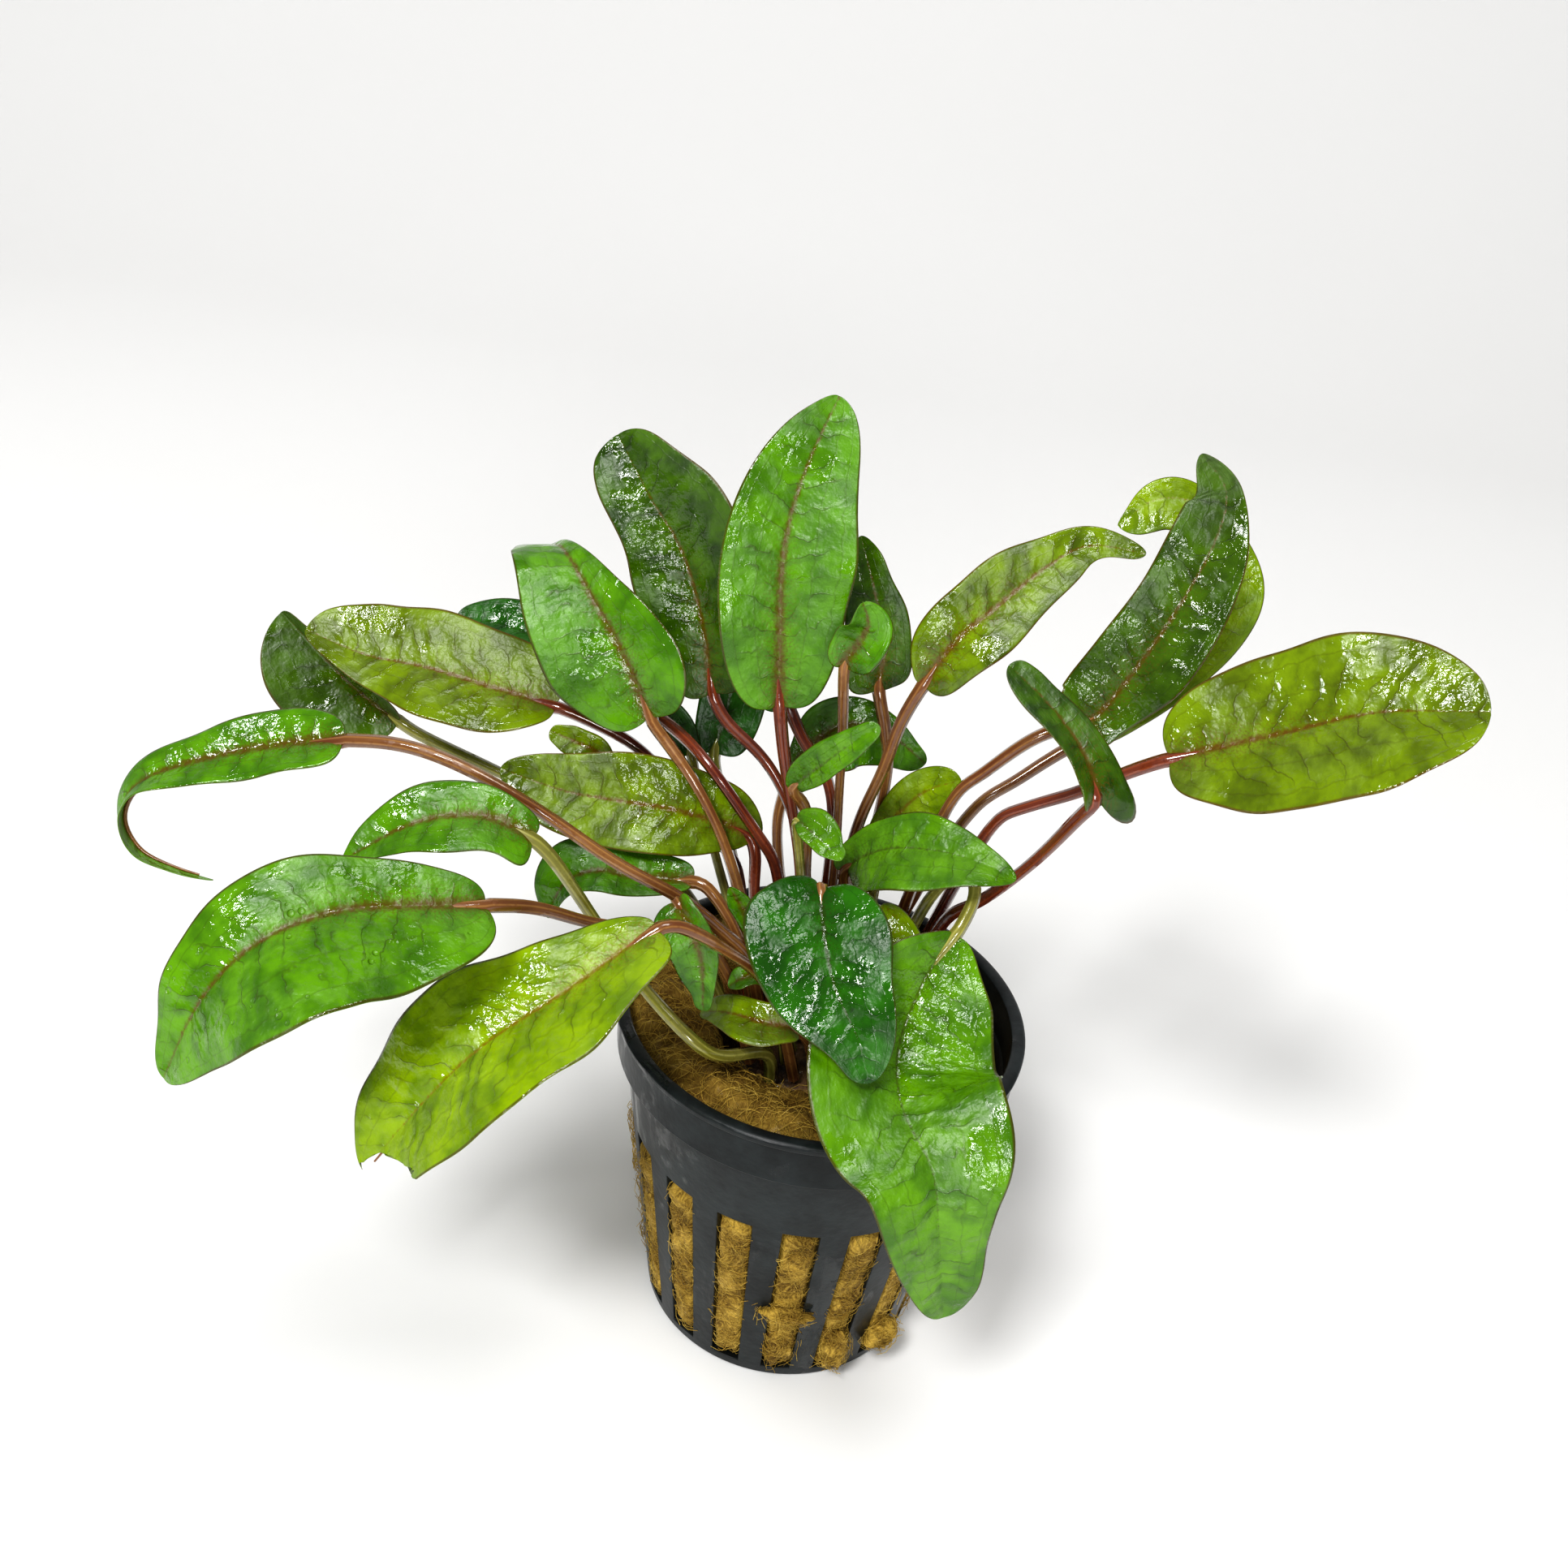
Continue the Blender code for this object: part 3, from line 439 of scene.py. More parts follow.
def smooth_path(points):
    """A Catmull-Rom curve through the points, as an array of close positions."""
    knots = [np.array(p, float) for p in points]
    knots = [2 * knots[0] - knots[1]] + knots + [2 * knots[-1] - knots[-2]]
    path = []
    for a, b, c, d in zip(knots, knots[1:], knots[2:], knots[3:]):
        for i in range(CURVE_STEPS):
            u = i / CURVE_STEPS
            path.append(0.5 * (2 * b + (c - a) * u + (2 * a - 5 * b + 4 * c - d) * u * u
                               + (3 * b - a - 3 * c + d) * u ** 3))
    path.append(knots[-2])
    return np.array(path)


def eased(path, base, rounds):
    """The path with its bends made wider, most on the stalk and little on the blade."""
    share = np.where(np.arange(len(path)) < base, 0.5, 0.12)[1:-1, None]
    for _ in range(rounds):
        between = 0.5 * (path[:-2] + path[2:])
        path[1:-1] += share * (between - path[1:-1])
    return path


def unit(vectors):
    return vectors / np.linalg.norm(vectors, axis=-1, keepdims=True)


def spots_on(path, reach, distances):
    """Positions at distances along a path."""
    return np.stack([np.interp(distances, reach, path[:, k]) for k in range(3)], -1)


def half_widths(widths, degrees):
    """Half widths, in mm, at angles from 0 at the base to 180 at the tip."""
    knots = np.array([0.0, *widths, 0.0])
    outside = np.concatenate([[-knots[1]], knots, [-knots[-2]]])
    place = np.asarray(degrees) / 22.5
    k = np.clip(place.astype(int), 0, len(knots) - 2)
    u = place - k
    a, b, c, d = (outside[k + i] for i in range(4))
    return 0.5 * (2 * b + (c - a) * u + (2 * a - 5 * b + 4 * c - d) * u ** 2
                  + (3 * b - a - 3 * c + d) * u ** 3)


class LeafLine:
    """The curve that a leaf's stalk and midrib follow, with its blade's frames."""

    def __init__(self, leaf):
        foot = [(x, y, max(z, STALK_FOOT)) for x, y, z in leaf.stalk]
        self.leaf = leaf
        base = len(leaf.stalk) * CURVE_STEPS
        self.path = eased(smooth_path(foot + list(leaf.blade)), base, STALK_EASING)
        steps = np.linalg.norm(np.diff(self.path, axis=0), axis=1)
        self.reach = np.concatenate([[0.0], np.cumsum(steps)])
        self.base = self.reach[base]
        self.length = self.reach[-1] - self.base

    def frames(self, t):
        """Spot, way, side and upward direction at shares t along the blade."""
        distances = self.base + np.asarray(t) * self.length
        spots = spots_on(self.path, self.reach, distances)
        ahead = spots_on(self.path, self.reach, distances + WAY_STEP)
        behind = spots_on(self.path, self.reach, distances - WAY_STEP)
        way = unit(ahead - behind)
        marks = np.linspace(0, 1, len(self.leaf.faces))
        faces = np.stack([np.interp(t, marks, [f[k] for f in self.leaf.faces])
                          for k in range(3)], -1)
        side = unit(np.cross(way, faces))
        return spots, way, side, np.cross(side, way)


# %% [markdown]
# Side veins leave the midrib at a slant every few millimetres, and the blade bulges a
# little between them, like a quilt. Both the mesh and the material need to know where
# the veins run, so one rule serves both: a vein is where the distance along the blade,
# less the slant times the distance from the midrib, is a whole number of spacings.
# The margins rise and fall in slow waves, as soft leaves do.

# %% Blade mesh
ROW_SIZE = 0.5
COLUMN_SIZE = 0.5
BLADE_THICKNESS = 0.34
VEIN_SPACING = 3.0
VEIN_SLANT = 0.55
QUILT_HEIGHT = 0.06
VEIN_WIDTH = 0.7
RIB_GROOVE = 0.22
WAVE_LENGTH = 15.0
WAVE_HEIGHT = 0.3
TORN_LEAF = "leaf_front_left_olive"
TEAR_DEPTH = 0.012
Sheet = namedtuple("Sheet", "points faces under share place")


def torn_end(leaf, a, rng):
    """How much of the blade's length each column keeps; one leaf has lost its tip."""
    if leaf.name != TORN_LEAF:
        return np.ones_like(a)
    kept = np.interp(a[0], [-1, -0.55, 0.0, 0.35, 1], [0.84, 0.87, 0.93, 0.985, 1.0])
    jagged = np.repeat(rng.uniform(-1, 1, a.size // 3 + 1), 3)[:a.size]
    fine = rng.uniform(-1, 1, a.size)
    tear = TEAR_DEPTH * jagged + 0.4 * TEAR_DEPTH * fine
    return (kept + tear * np.clip(0.5 - a[0], 0, 1))[None, :]


def blade_sheet(leaf, line, rng):
    """The blade as a thin closed sheet of rings, with its pattern coordinates."""
    rows = max(24, int(math.pi * line.length / 2 / ROW_SIZE))
    columns = max(6, int(max(leaf.left + leaf.right) / COLUMN_SIZE))
    a = np.linspace(-1, 1, 2 * columns + 1)[None, :]
    degrees = np.linspace(3.0, 177.5, rows)[:, None]
    t = (1 - np.cos(np.radians(degrees))) / 2 * torn_end(leaf, a, rng)
    degrees = np.degrees(np.arccos(1 - 2 * t))
    spots, way, side, up = line.frames(t)
    share = np.abs(a)
    half = np.where(a > 0, half_widths(leaf.right, degrees),
                    half_widths(leaf.left, degrees))
    turn = np.radians(np.where(a > 0, leaf.fold[1], leaf.fold[0]))
    along = t * line.length
    outward = half * a
    rise = half * (1.35 * share - 0.35 * share ** 2)
    phase = rng.uniform(0, 2 * math.pi, 4)
    slow = np.sin(2 * math.pi * along / WAVE_LENGTH + np.where(a > 0, phase[0], phase[1]))
    slow = slow + 0.6 * np.sin(2 * math.pi * along / (WAVE_LENGTH * 0.57)
                               + np.where(a > 0, phase[2], phase[3]))
    wave = WAVE_HEIGHT * slow * share ** 2 * np.minimum(1, half / 5)
    run = along - VEIN_SLANT * np.abs(outward)
    near = np.abs((run / VEIN_SPACING + 0.5) % 1 - 0.5) * VEIN_SPACING
    quilt = QUILT_HEIGHT * (1 - np.exp(-(near / VEIN_WIDTH) ** 2))
    quilt = quilt * np.minimum(1, half / 4) * (1 - share ** 6)
    groove = RIB_GROOVE * np.exp(-(outward / 0.8) ** 2) * (1 - 0.7 * t)
    lift = (rise * np.sin(turn) + wave + quilt - groove)[..., None]
    back = (leaf.lobe * half * share ** 2 * np.exp(-t / LOBE_FADE))[..., None]
    middle = spots + side * (outward * np.cos(turn))[..., None] + up * lift - way * back
    down_way = np.gradient(middle, axis=0)
    down_side = np.gradient(middle, axis=1)
    normal = unit(np.cross(down_side, down_way))
    thick = BLADE_THICKNESS * (1 - 0.6 * t) * (1 - 0.55 * share ** 3)
    upper = middle + normal * (thick / 2)[..., None]
    lower = middle - normal * (thick / 2)[..., None]
    ring = np.concatenate([upper, lower[:, ::-1]], axis=1)
    count = ring.shape[1]
    index = np.arange(rows * count).reshape(rows, count)
    following = np.roll(index, -1, axis=1)
    faces = np.stack([index[:-1], index[1:], following[1:], following[:-1]], -1)
    under = np.broadcast_to(np.arange(count) > 2 * columns, (rows - 1, count))

    def both_sides(values):
        values = np.broadcast_to(values, t.shape)
        return np.concatenate([values, values[:, ::-1]], 1)

    share_uv = np.stack([both_sides(a * 0.5 + 0.5), both_sides(t)], -1)
    place_uv = np.stack([both_sides(outward), both_sides(along)], -1)
    caps = [index[0][::-1].tolist(), index[-1].tolist()]
    return Sheet(ring.reshape(-1, 3), (faces.reshape(-1, 4), caps), under.reshape(-1),
                 share_uv.reshape(-1, 2), place_uv.reshape(-1, 2))


# %% [markdown]
# The stalk is round with fine ribs along it, and it goes on under the blade as the
# midrib, thinner and thinner to the tip. Something that follows a path is work for
# Geometry Nodes: a curve carries its own radius, and a ribbed circle is swept along it.

# %% Stalk tree
STALK_RADIUS = 0.85
STALK_RIBS = 7
RIB_DEPTH = 0.09
RIB_RADIUS = 0.5
TIP_RADIUS = 0.1
RIB_COVER = 0.12
STALK_POINT_STEP = 0.8


def link(tree, one, two):
    tree.links.new(one, two)
    return two


def stalk_tree():
    """Sweeps a ribbed circle along a line of points that carry their own radius."""
    tree = bpy.data.node_groups.new("ribbed stalk", "GeometryNodeTree")
    face = tree.interface
    face.new_socket(name="Line", in_out="INPUT", socket_type="NodeSocketGeometry")
    face.new_socket(name="Ribs", in_out="INPUT", socket_type="NodeSocketInt")
    face.new_socket(name="Rib depth", in_out="INPUT", socket_type="NodeSocketFloat")
    face.new_socket(name="Finish", in_out="INPUT", socket_type="NodeSocketMaterial")
    face.new_socket(name="Stalk", in_out="OUTPUT", socket_type="NodeSocketGeometry")
    given = tree.nodes.new("NodeGroupInput").outputs
    result = tree.nodes.new("NodeGroupOutput").inputs
    line = add_node(tree, "GeometryNodeMeshToCurve", {"Mesh": given["Line"]})
    radius = add_node(tree, "GeometryNodeInputNamedAttribute", {"Name": "radius"},
                      data_type="FLOAT").outputs["Attribute"]
    thick = add_node(tree, "GeometryNodeSetCurveRadius",
                     {"Curve": line.outputs["Curve"], "Radius": radius})
    sides = calc(tree, "MULTIPLY", given["Ribs"], 2.0)
    circle = add_node(tree, "GeometryNodeCurvePrimitiveCircle",
                      {"Resolution": sides, "Radius": 1.0})
    factor = add_node(tree, "GeometryNodeSplineParameter").outputs["Factor"]
    turns = calc(tree, "MULTIPLY", factor, given["Ribs"])
    wave = calc(tree, "COSINE", calc(tree, "MULTIPLY", turns, 2 * math.pi))
    kept = add_node(tree, "GeometryNodeStoreNamedAttribute",
                    {"Geometry": circle.outputs["Curve"], "Name": "ridge", "Value": wave},
                    data_type="FLOAT", domain="POINT")
    grown = calc(tree, "MULTIPLY_ADD", wave, given["Rib depth"], 1.0)
    spot = add_node(tree, "GeometryNodeInputPosition").outputs["Position"]
    moved = add_node(tree, "ShaderNodeVectorMath", {0: spot, "Scale": grown},
                     operation="SCALE").outputs["Vector"]
    ribbed = add_node(tree, "GeometryNodeSetPosition",
                      {"Geometry": kept.outputs["Geometry"], "Position": moved})
    inputs = {"Curve": thick.outputs["Curve"],
              "Profile Curve": ribbed.outputs["Geometry"], "Fill Caps": True}
    swept = add_node(tree, "GeometryNodeCurveToMesh", inputs)
    if "Scale" in swept.inputs:
        tree.links.new(radius, swept.inputs["Scale"])
    real = add_node(tree, "GeometryNodeRealizeInstances",
                    {"Geometry": swept.outputs["Mesh"]})
    done = add_node(tree, "GeometryNodeSetMaterial",
                    {"Geometry": real.outputs["Geometry"], "Material": given["Finish"]})
    tree.links.new(done.outputs["Geometry"], result["Stalk"])
    return tree


def grown_mesh(name, source, tree, **values):
    """The plain mesh that a Geometry Nodes tree makes from a source mesh."""
    holder = bpy.data.objects.new(name, source)
    bpy.context.scene.collection.objects.link(holder)
    modifier = holder.modifiers.new(name, "NODES")
    modifier.node_group = tree
    for socket in tree.interface.items_tree:
        key = socket.name.replace(" ", "_")
        if key in values:
            modifier[socket.identifier] = values[key]
    graph = bpy.context.evaluated_depsgraph_get()
    mesh = bpy.data.meshes.new_from_object(holder.evaluated_get(graph))
    bpy.data.objects.remove(holder)
    return mesh
# %% [markdown]
# A living leaf is never one green. Light and dark patches drift over it, thin dark side
# veins cross it like the rungs of a ladder, and brown spreads in specks from the midrib.
# Fainter veins run lengthwise, in the same curve as the margin. The pattern follows the
# blade's own coordinates, in mm, so it bends as the blade bends. It is one node group,
# and each leaf tone sets its own spacing, slant and colours.

# %% Leaf pattern
PATTERN_OUTPUTS = ["Patches", "Veins", "Midrib", "Specks", "Cells", "Margin", "Flecks",
                   "Relief"]


def thin_line(tree, distance, width):
    """One on a line and nothing beyond its width."""
    return ease(tree, distance, 0.0, width, 1.0, 0.0)


def leaf_pattern():
    """Masks of a leaf's markings, and the relief that goes with them."""
    tree, given, result = new_group(
        "leaf pattern", {"Spacing": VEIN_SPACING, "Slant": VEIN_SLANT, "Rib": 1.0},
        PATTERN_OUTPUTS)
    share = add_node(tree, "ShaderNodeUVMap", uv_map="share").outputs["UV"]
    place = add_node(tree, "ShaderNodeUVMap", uv_map="place").outputs["UV"]
    split = add_node(tree, "ShaderNodeSeparateXYZ", {"Vector": share}).outputs
    edge = calc(tree, "ABSOLUTE", calc(tree, "MULTIPLY_ADD", split["X"], 2.0, -1.0))
    t = split["Y"]
    spot = add_node(tree, "ShaderNodeSeparateXYZ", {"Vector": place}).outputs
    out = calc(tree, "ABSOLUTE", spot["X"])
    drift = calc(tree, "MULTIPLY_ADD", noise(tree, place, 0.13), 9.0, -4.5)
    wobble = calc(tree, "MULTIPLY_ADD", noise(tree, place, 0.6, 2.0), 1.8, -0.9)
    slanted = calc(tree, "MULTIPLY", out, given["Slant"])
    run = calc(tree, "ADD", calc(tree, "SUBTRACT", spot["Y"], slanted), drift)
    run = calc(tree, "ADD", run, wobble)
    rung = calc(tree, "FRACT", calc(tree, "ADD", calc(tree, "DIVIDE", run,
                                                      given["Spacing"]), 100.5))
    near = calc(tree, "ABSOLUTE", calc(tree, "SUBTRACT", rung, 0.5))
    near = calc(tree, "MULTIPLY", near, given["Spacing"])
    broken = ease(tree, noise(tree, place, 0.28), 0.36, 0.58, 0.12, 1.0)
    faded = ease(tree, edge, 0.45, 0.95, 1.0, 0.0)
    rungs = calc(tree, "MULTIPLY", thin_line(tree, near, 0.20),
                 calc(tree, "MULTIPLY", broken, faded))
    arc = calc(tree, "MULTIPLY_ADD", noise(tree, place, 0.5), 0.16, edge)
    inner = thin_line(tree, calc(tree, "ABSOLUTE", calc(tree, "SUBTRACT", arc, 0.50)),
                      0.028)
    outer = thin_line(tree, calc(tree, "ABSOLUTE", calc(tree, "SUBTRACT", arc, 0.86)),
                      0.024)
    arcs = calc(tree, "MULTIPLY", calc(tree, "MAXIMUM", inner, outer), 0.4)
    veins = calc(tree, "MAXIMUM", rungs, arcs)
    girth = calc(tree, "MULTIPLY", given["Rib"],
                 add_node(tree, "ShaderNodeMapRange",
                          {"Value": t, "To Min": 1.0, "To Max": 0.38}).outputs["Result"])
    ragged = calc(tree, "MULTIPLY_ADD", noise(tree, place, 1.9, 3.0, 0.7), 0.9, out)
    rib = ease(tree, calc(tree, "DIVIDE", ragged, girth), 0.6, 1.35, 1.0, 0.0)
    rib = calc(tree, "MULTIPLY", rib, ease(tree, noise(tree, place, 1.3), 0.3, 0.6, 0.55,
                                           1.0))
    halo = calc(tree, "MULTIPLY", ease(tree, out, 0.6, 3.6, 1.0, 0.0),
                ease(tree, t, 0.0, 0.8, 1.0, 0.1))
    grain = ease(tree, noise(tree, place, 3.4, 3.0), 0.48, 0.6)
    specks = calc(tree, "MULTIPLY", halo, grain)
    cells = calc(tree, "MULTIPLY", ease(tree, near, 0.15, 1.3), faded)
    margin = ease(tree, edge, 0.955, 0.985)
    patches = ease(tree, noise(tree, place, 0.17, 3.0, 0.6), 0.36, 0.64)
    dots = add_node(tree, "ShaderNodeTexVoronoi", {"Vector": place, "Scale": 0.32},
                    feature="F1").outputs
    chosen = add_node(tree, "ShaderNodeSeparateColor", {"Color": dots["Color"]}).outputs
    flecks = calc(tree, "MULTIPLY", ease(tree, dots["Distance"], 0.06, 0.13, 1.0, 0.0),
                  calc(tree, "GREATER_THAN", chosen["Red"], 0.93))
    skin = noise(tree, place, 0.8, 2.0, 0.5)
    relief = calc(tree, "MULTIPLY_ADD", cells, 0.5, skin)
    relief = calc(tree, "MULTIPLY_ADD", veins, -0.2, relief)
    for label, value in zip(PATTERN_OUTPUTS, (patches, veins, rib, specks, cells, margin,
                                              flecks, relief)):
        tree.links.new(value, result[label])
    return tree


LEAF_PATTERN = leaf_pattern()


# %% [markdown]
# Water covers the plant in a film that isn't even. Where it is thick the surface is a
# mirror; where it has run off, the skin is only satin. One group gives both the mask of
# the film and its small ripples, and leaves, stalks and pot all use it.
# On the leaves the film lowers the roughness, so that the gloss feels the ripples and
# breaks up. A coat has a normal of its own, which the bump doesn't reach: it mirrors the
# lamp as a hard white disc, which reads as a hole. Ripples are as steep as a lamp is wide.

# %% Water film
def water_film():
    """Where a film of water lies, and how it ripples; sizes are per metre."""
    tree, given, result = new_group("water film", {"Patch scale": 90.0, "Cover": 0.5},
                                    ["Film", "Ripples"])
    place = add_node(tree, "ShaderNodeTexCoord").outputs["Object"]
    cloud = noise(tree, place, given["Patch scale"], 4.0, 0.62)
    low = calc(tree, "SUBTRACT", 0.95, given["Cover"])
    high = calc(tree, "ADD", low, 0.05)
    film = ease(tree, cloud, low, high)
    ripples = noise(tree, place, 900.0, 4.0, 0.65)
    tree.links.new(film, result["Film"])
    tree.links.new(ripples, result["Ripples"])
    return tree


def dew():
    """Small domes of water on a blade, no two the same size, and bare places."""
    tree, given, result = new_group("dew", {"Drops per mm": 0.8}, ["Height"])
    place = add_node(tree, "ShaderNodeUVMap", uv_map="place").outputs["UV"]
    cell = add_node(tree, "ShaderNodeTexVoronoi",
                    {"Vector": place, "Scale": given["Drops per mm"]},
                    feature="F1").outputs
    chosen = add_node(tree, "ShaderNodeSeparateColor", {"Color": cell["Color"]}).outputs
    area = ease(tree, noise(tree, place, 0.09, 1.0), 0.42, 0.56)
    size = calc(tree, "MULTIPLY", calc(tree, "POWER", chosen["Red"], 2.0), area)
    size = calc(tree, "MULTIPLY_ADD", size, 0.42, 0.01)
    ratio = calc(tree, "DIVIDE", cell["Distance"], size)
    under = calc(tree, "SUBTRACT", 1.0, calc(tree, "MULTIPLY", ratio, ratio), clamp=True)
    dome = calc(tree, "MULTIPLY", calc(tree, "SQRT", under), size)
    tree.links.new(calc(tree, "MULTIPLY", dome, 3.0), result["Height"])
    return tree


WATER_FILM = water_film()
DEW = dew()


# %% [markdown]
# The leaves are bright, fresh yellow green, deep, olive or a dark moss green. One bright
# leaf also carries drops, and plain is bright with a faint midrib. They share one recipe.
# The lower face is paler and duller, so each face has a mark that says which side it is.

# %% Leaf finishes
SATIN = 0.40
WET = 0.05
FLECK_YELLOW = (0.50, 0.42, 0.04)
RIPPLE_SHARE = 0.5


def leaf_finish(name, dark, light, rib, vein, edge, slant=0.5, rib_width=1.0,
                dewy=False):
    """One leaf tone: colours are dark and light flesh, midrib, veins and margin."""
    made, tree, shader = new_material(name, Specular_IOR_Level=0.5)
    marks = use_group(tree, LEAF_PATTERN, Spacing=VEIN_SPACING, Slant=slant,
                      Rib=rib_width)
    film = use_group(tree, WATER_FILM, Patch_scale=85.0, Cover=0.48)
    under = add_node(tree, "ShaderNodeAttribute", attribute_name="under").outputs["Fac"]
    tint = add_node(tree, "ShaderNodeAttribute", attribute_name="tint").outputs["Fac"]
    body = mix(tree, marks["Patches"], colour(*dark), colour(*light))
    bright = tuple(1.15 * a for a in light)
    body = mix(tree, calc(tree, "MULTIPLY", marks["Cells"], 0.25), body, colour(*bright))
    warm = tuple(0.7 * a + 0.3 * b for a, b in zip(light, edge))
    body = mix(tree, calc(tree, "MULTIPLY", tint, 0.3), body, colour(*warm))
    body = mix(tree, calc(tree, "MULTIPLY", marks["Veins"], 0.6), body, colour(*vein))
    body = mix(tree, calc(tree, "MULTIPLY", marks["Specks"], 0.5), body, colour(*rib))
    body = mix(tree, calc(tree, "MULTIPLY", marks["Midrib"], 0.9), body, colour(*rib))
    body = mix(tree, calc(tree, "MULTIPLY", marks["Margin"], 0.8), body, colour(*edge))
    body = mix(tree, calc(tree, "MULTIPLY", marks["Flecks"], 0.8), body,
               colour(*FLECK_YELLOW))
    pale = tuple(0.6 * a + 0.4 * b for a, b in zip(light, (0.16, 0.26, 0.03)))
    body = mix(tree, calc(tree, "MULTIPLY", under, 0.6), body, colour(*pale))
    tree.links.new(body, shader.inputs["Base Color"])
    rough = add_node(tree, "ShaderNodeMapRange",
                     {"Value": film["Film"], "To Min": SATIN, "To Max": WET})
    tree.links.new(rough.outputs["Result"], shader.inputs["Roughness"])
    height = calc(tree, "MULTIPLY_ADD", film["Ripples"], RIPPLE_SHARE, marks["Relief"])
    if dewy:
        height = calc(tree, "ADD", height, use_group(tree, DEW)["Height"])
    shape_normal(tree, shader, height, 0.00022)
    return made


RIB_RED = (0.115, 0.045, 0.003)
RIB_BROWN = (0.095, 0.048, 0.003)
EDGE_BROWN = (0.055, 0.032, 0.003)
LEAF_FINISHES = {
    "bright": leaf_finish("leaf_bright_skin", (0.030, 0.120, 0.001),
                          (0.100, 0.290, 0.001), RIB_BROWN, (0.030, 0.045, 0.001),
                          EDGE_BROWN, 0.35, 1.35),
    "dewy": leaf_finish("leaf_dewy_skin", (0.034, 0.125, 0.001),
                        (0.110, 0.300, 0.001), RIB_BROWN, (0.030, 0.045, 0.001),
                        EDGE_BROWN, 0.35, 1.35, dewy=True),
    "plain": leaf_finish("leaf_plain_skin", (0.034, 0.125, 0.001),
                         (0.110, 0.285, 0.001), (0.045, 0.070, 0.002),
                         (0.022, 0.045, 0.001), EDGE_BROWN, 0.3, 0.8),
    "fresh": leaf_finish("leaf_fresh_skin", (0.095, 0.180, 0.001), (0.24, 0.37, 0.001),
                         (0.18, 0.11, 0.003), (0.060, 0.070, 0.001), EDGE_BROWN, 0.8,
                         1.0),
    "deep": leaf_finish("leaf_deep_skin", (0.004, 0.045, 0.001), (0.020, 0.135, 0.001),
                        (0.022, 0.036, 0.001), (0.003, 0.018, 0.001),
                        (0.04, 0.045, 0.003), 0.5, 0.9),
    "olive": leaf_finish("leaf_olive_skin", (0.050, 0.085, 0.001), (0.17, 0.27, 0.001),
                         RIB_RED, (0.045, 0.035, 0.001), (0.10, 0.045, 0.003), 0.6, 1.1),
    "moss": leaf_finish("leaf_moss_skin", (0.012, 0.040, 0.001), (0.055, 0.135, 0.001),
                        RIB_BROWN, (0.010, 0.018, 0.001), (0.08, 0.045, 0.003), 0.45,
                        1.0),
}
OTHER_TONES = {
    "leaf_left_wide_front": "dewy",
    "leaf_front_left_olive": "fresh", "leaf_front_light": "fresh",
    "leaf_right_young_yellow": "fresh", "leaf_front_over_rim": "plain",
    "leaf_right_arched_back": "fresh", "leaf_far_right_wide": "olive",
    "leaf_right_twisted": "moss", "leaf_right_edge_on": "moss",
    "leaf_back_olive": "moss", "leaf_tall_back_left": "moss",
    "leaf_far_left_folded": "moss", "leaf_left_hanging_tip": "bright",
    "leaf_middle_back": "bright", "leaf_right_bright": "plain",
    "leaf_middle_small": "plain", "leaf_middle_young": "plain",
}


def stalk_finish(name, dark, light):
    """Ribbed stalk: lighter on its ridges, with slow changes of tone along it."""
    made, tree, shader = new_material(name, Coat_Roughness=0.08, Coat_IOR=1.33)
    ridge = add_node(tree, "ShaderNodeAttribute", attribute_name="ridge").outputs["Fac"]
    place = add_node(tree, "ShaderNodeTexCoord").outputs["Object"]
    film = use_group(tree, WATER_FILM, Patch_scale=120.0, Cover=0.55)
    slow = ease(tree, noise(tree, place, 70.0, 3.0), 0.35, 0.65)
    on_ridge = ease(tree, ridge, -0.2, 0.9)
    share = calc(tree, "MULTIPLY_ADD", slow, 0.45, calc(tree, "MULTIPLY", on_ridge, 0.55))
    body = mix(tree, share, colour(*dark), colour(*light))
    dots = ease(tree, noise(tree, place, 1500.0, 2.0), 0.55, 0.68)
    body = mix(tree, calc(tree, "MULTIPLY", dots, 0.35), body, colour(*dark))
    tree.links.new(body, shader.inputs["Base Color"])
    rough = add_node(tree, "ShaderNodeMapRange",
                     {"Value": film["Film"], "To Min": 0.45, "To Max": 0.15})
    tree.links.new(rough.outputs["Result"], shader.inputs["Roughness"])
    tree.links.new(film["Film"], shader.inputs["Coat Weight"])
    shape_normal(tree, shader, noise(tree, place, 900.0, 3.0), 0.00006)
    return made


STALK_FINISHES = {
    "red": stalk_finish("stalk_red_skin", (0.075, 0.010, 0.006), (0.24, 0.055, 0.018)),
    "tan": stalk_finish("stalk_tan_skin", (0.12, 0.035, 0.010), (0.34, 0.17, 0.05)),
    "pale": stalk_finish("stalk_pale_skin", (0.14, 0.13, 0.015), (0.38, 0.36, 0.08)),
}
RED_STALKS = {
    "leaf_left_olive_long", "leaf_left_hidden", "leaf_right_edge_on",
    "leaf_behind_centre", "leaf_far_right_wide", "leaf_tall_centre",
    "leaf_tall_back_left", "leaf_left_red_rib",
}
PALE_STALKS = {
    "leaf_back_dark", "leaf_back_dark_small", "leaf_left_pale_small", "leaf_left_low",
    "leaf_front_over_rim", "leaf_front_light", "leaf_far_left_folded",
    "leaf_front_sprout", "leaf_rim_young", "leaf_middle_young",
    "leaf_right_young_yellow",
}
print(len(LEAF_FINISHES), "leaf finishes and", len(STALK_FINISHES), "stalk finishes")


# %% [markdown]
# Each leaf is one piece: its blade and its stalk joined, as it would come off the plant
# in the hand. It replaces the plain solid of the same name and rides on the same body.

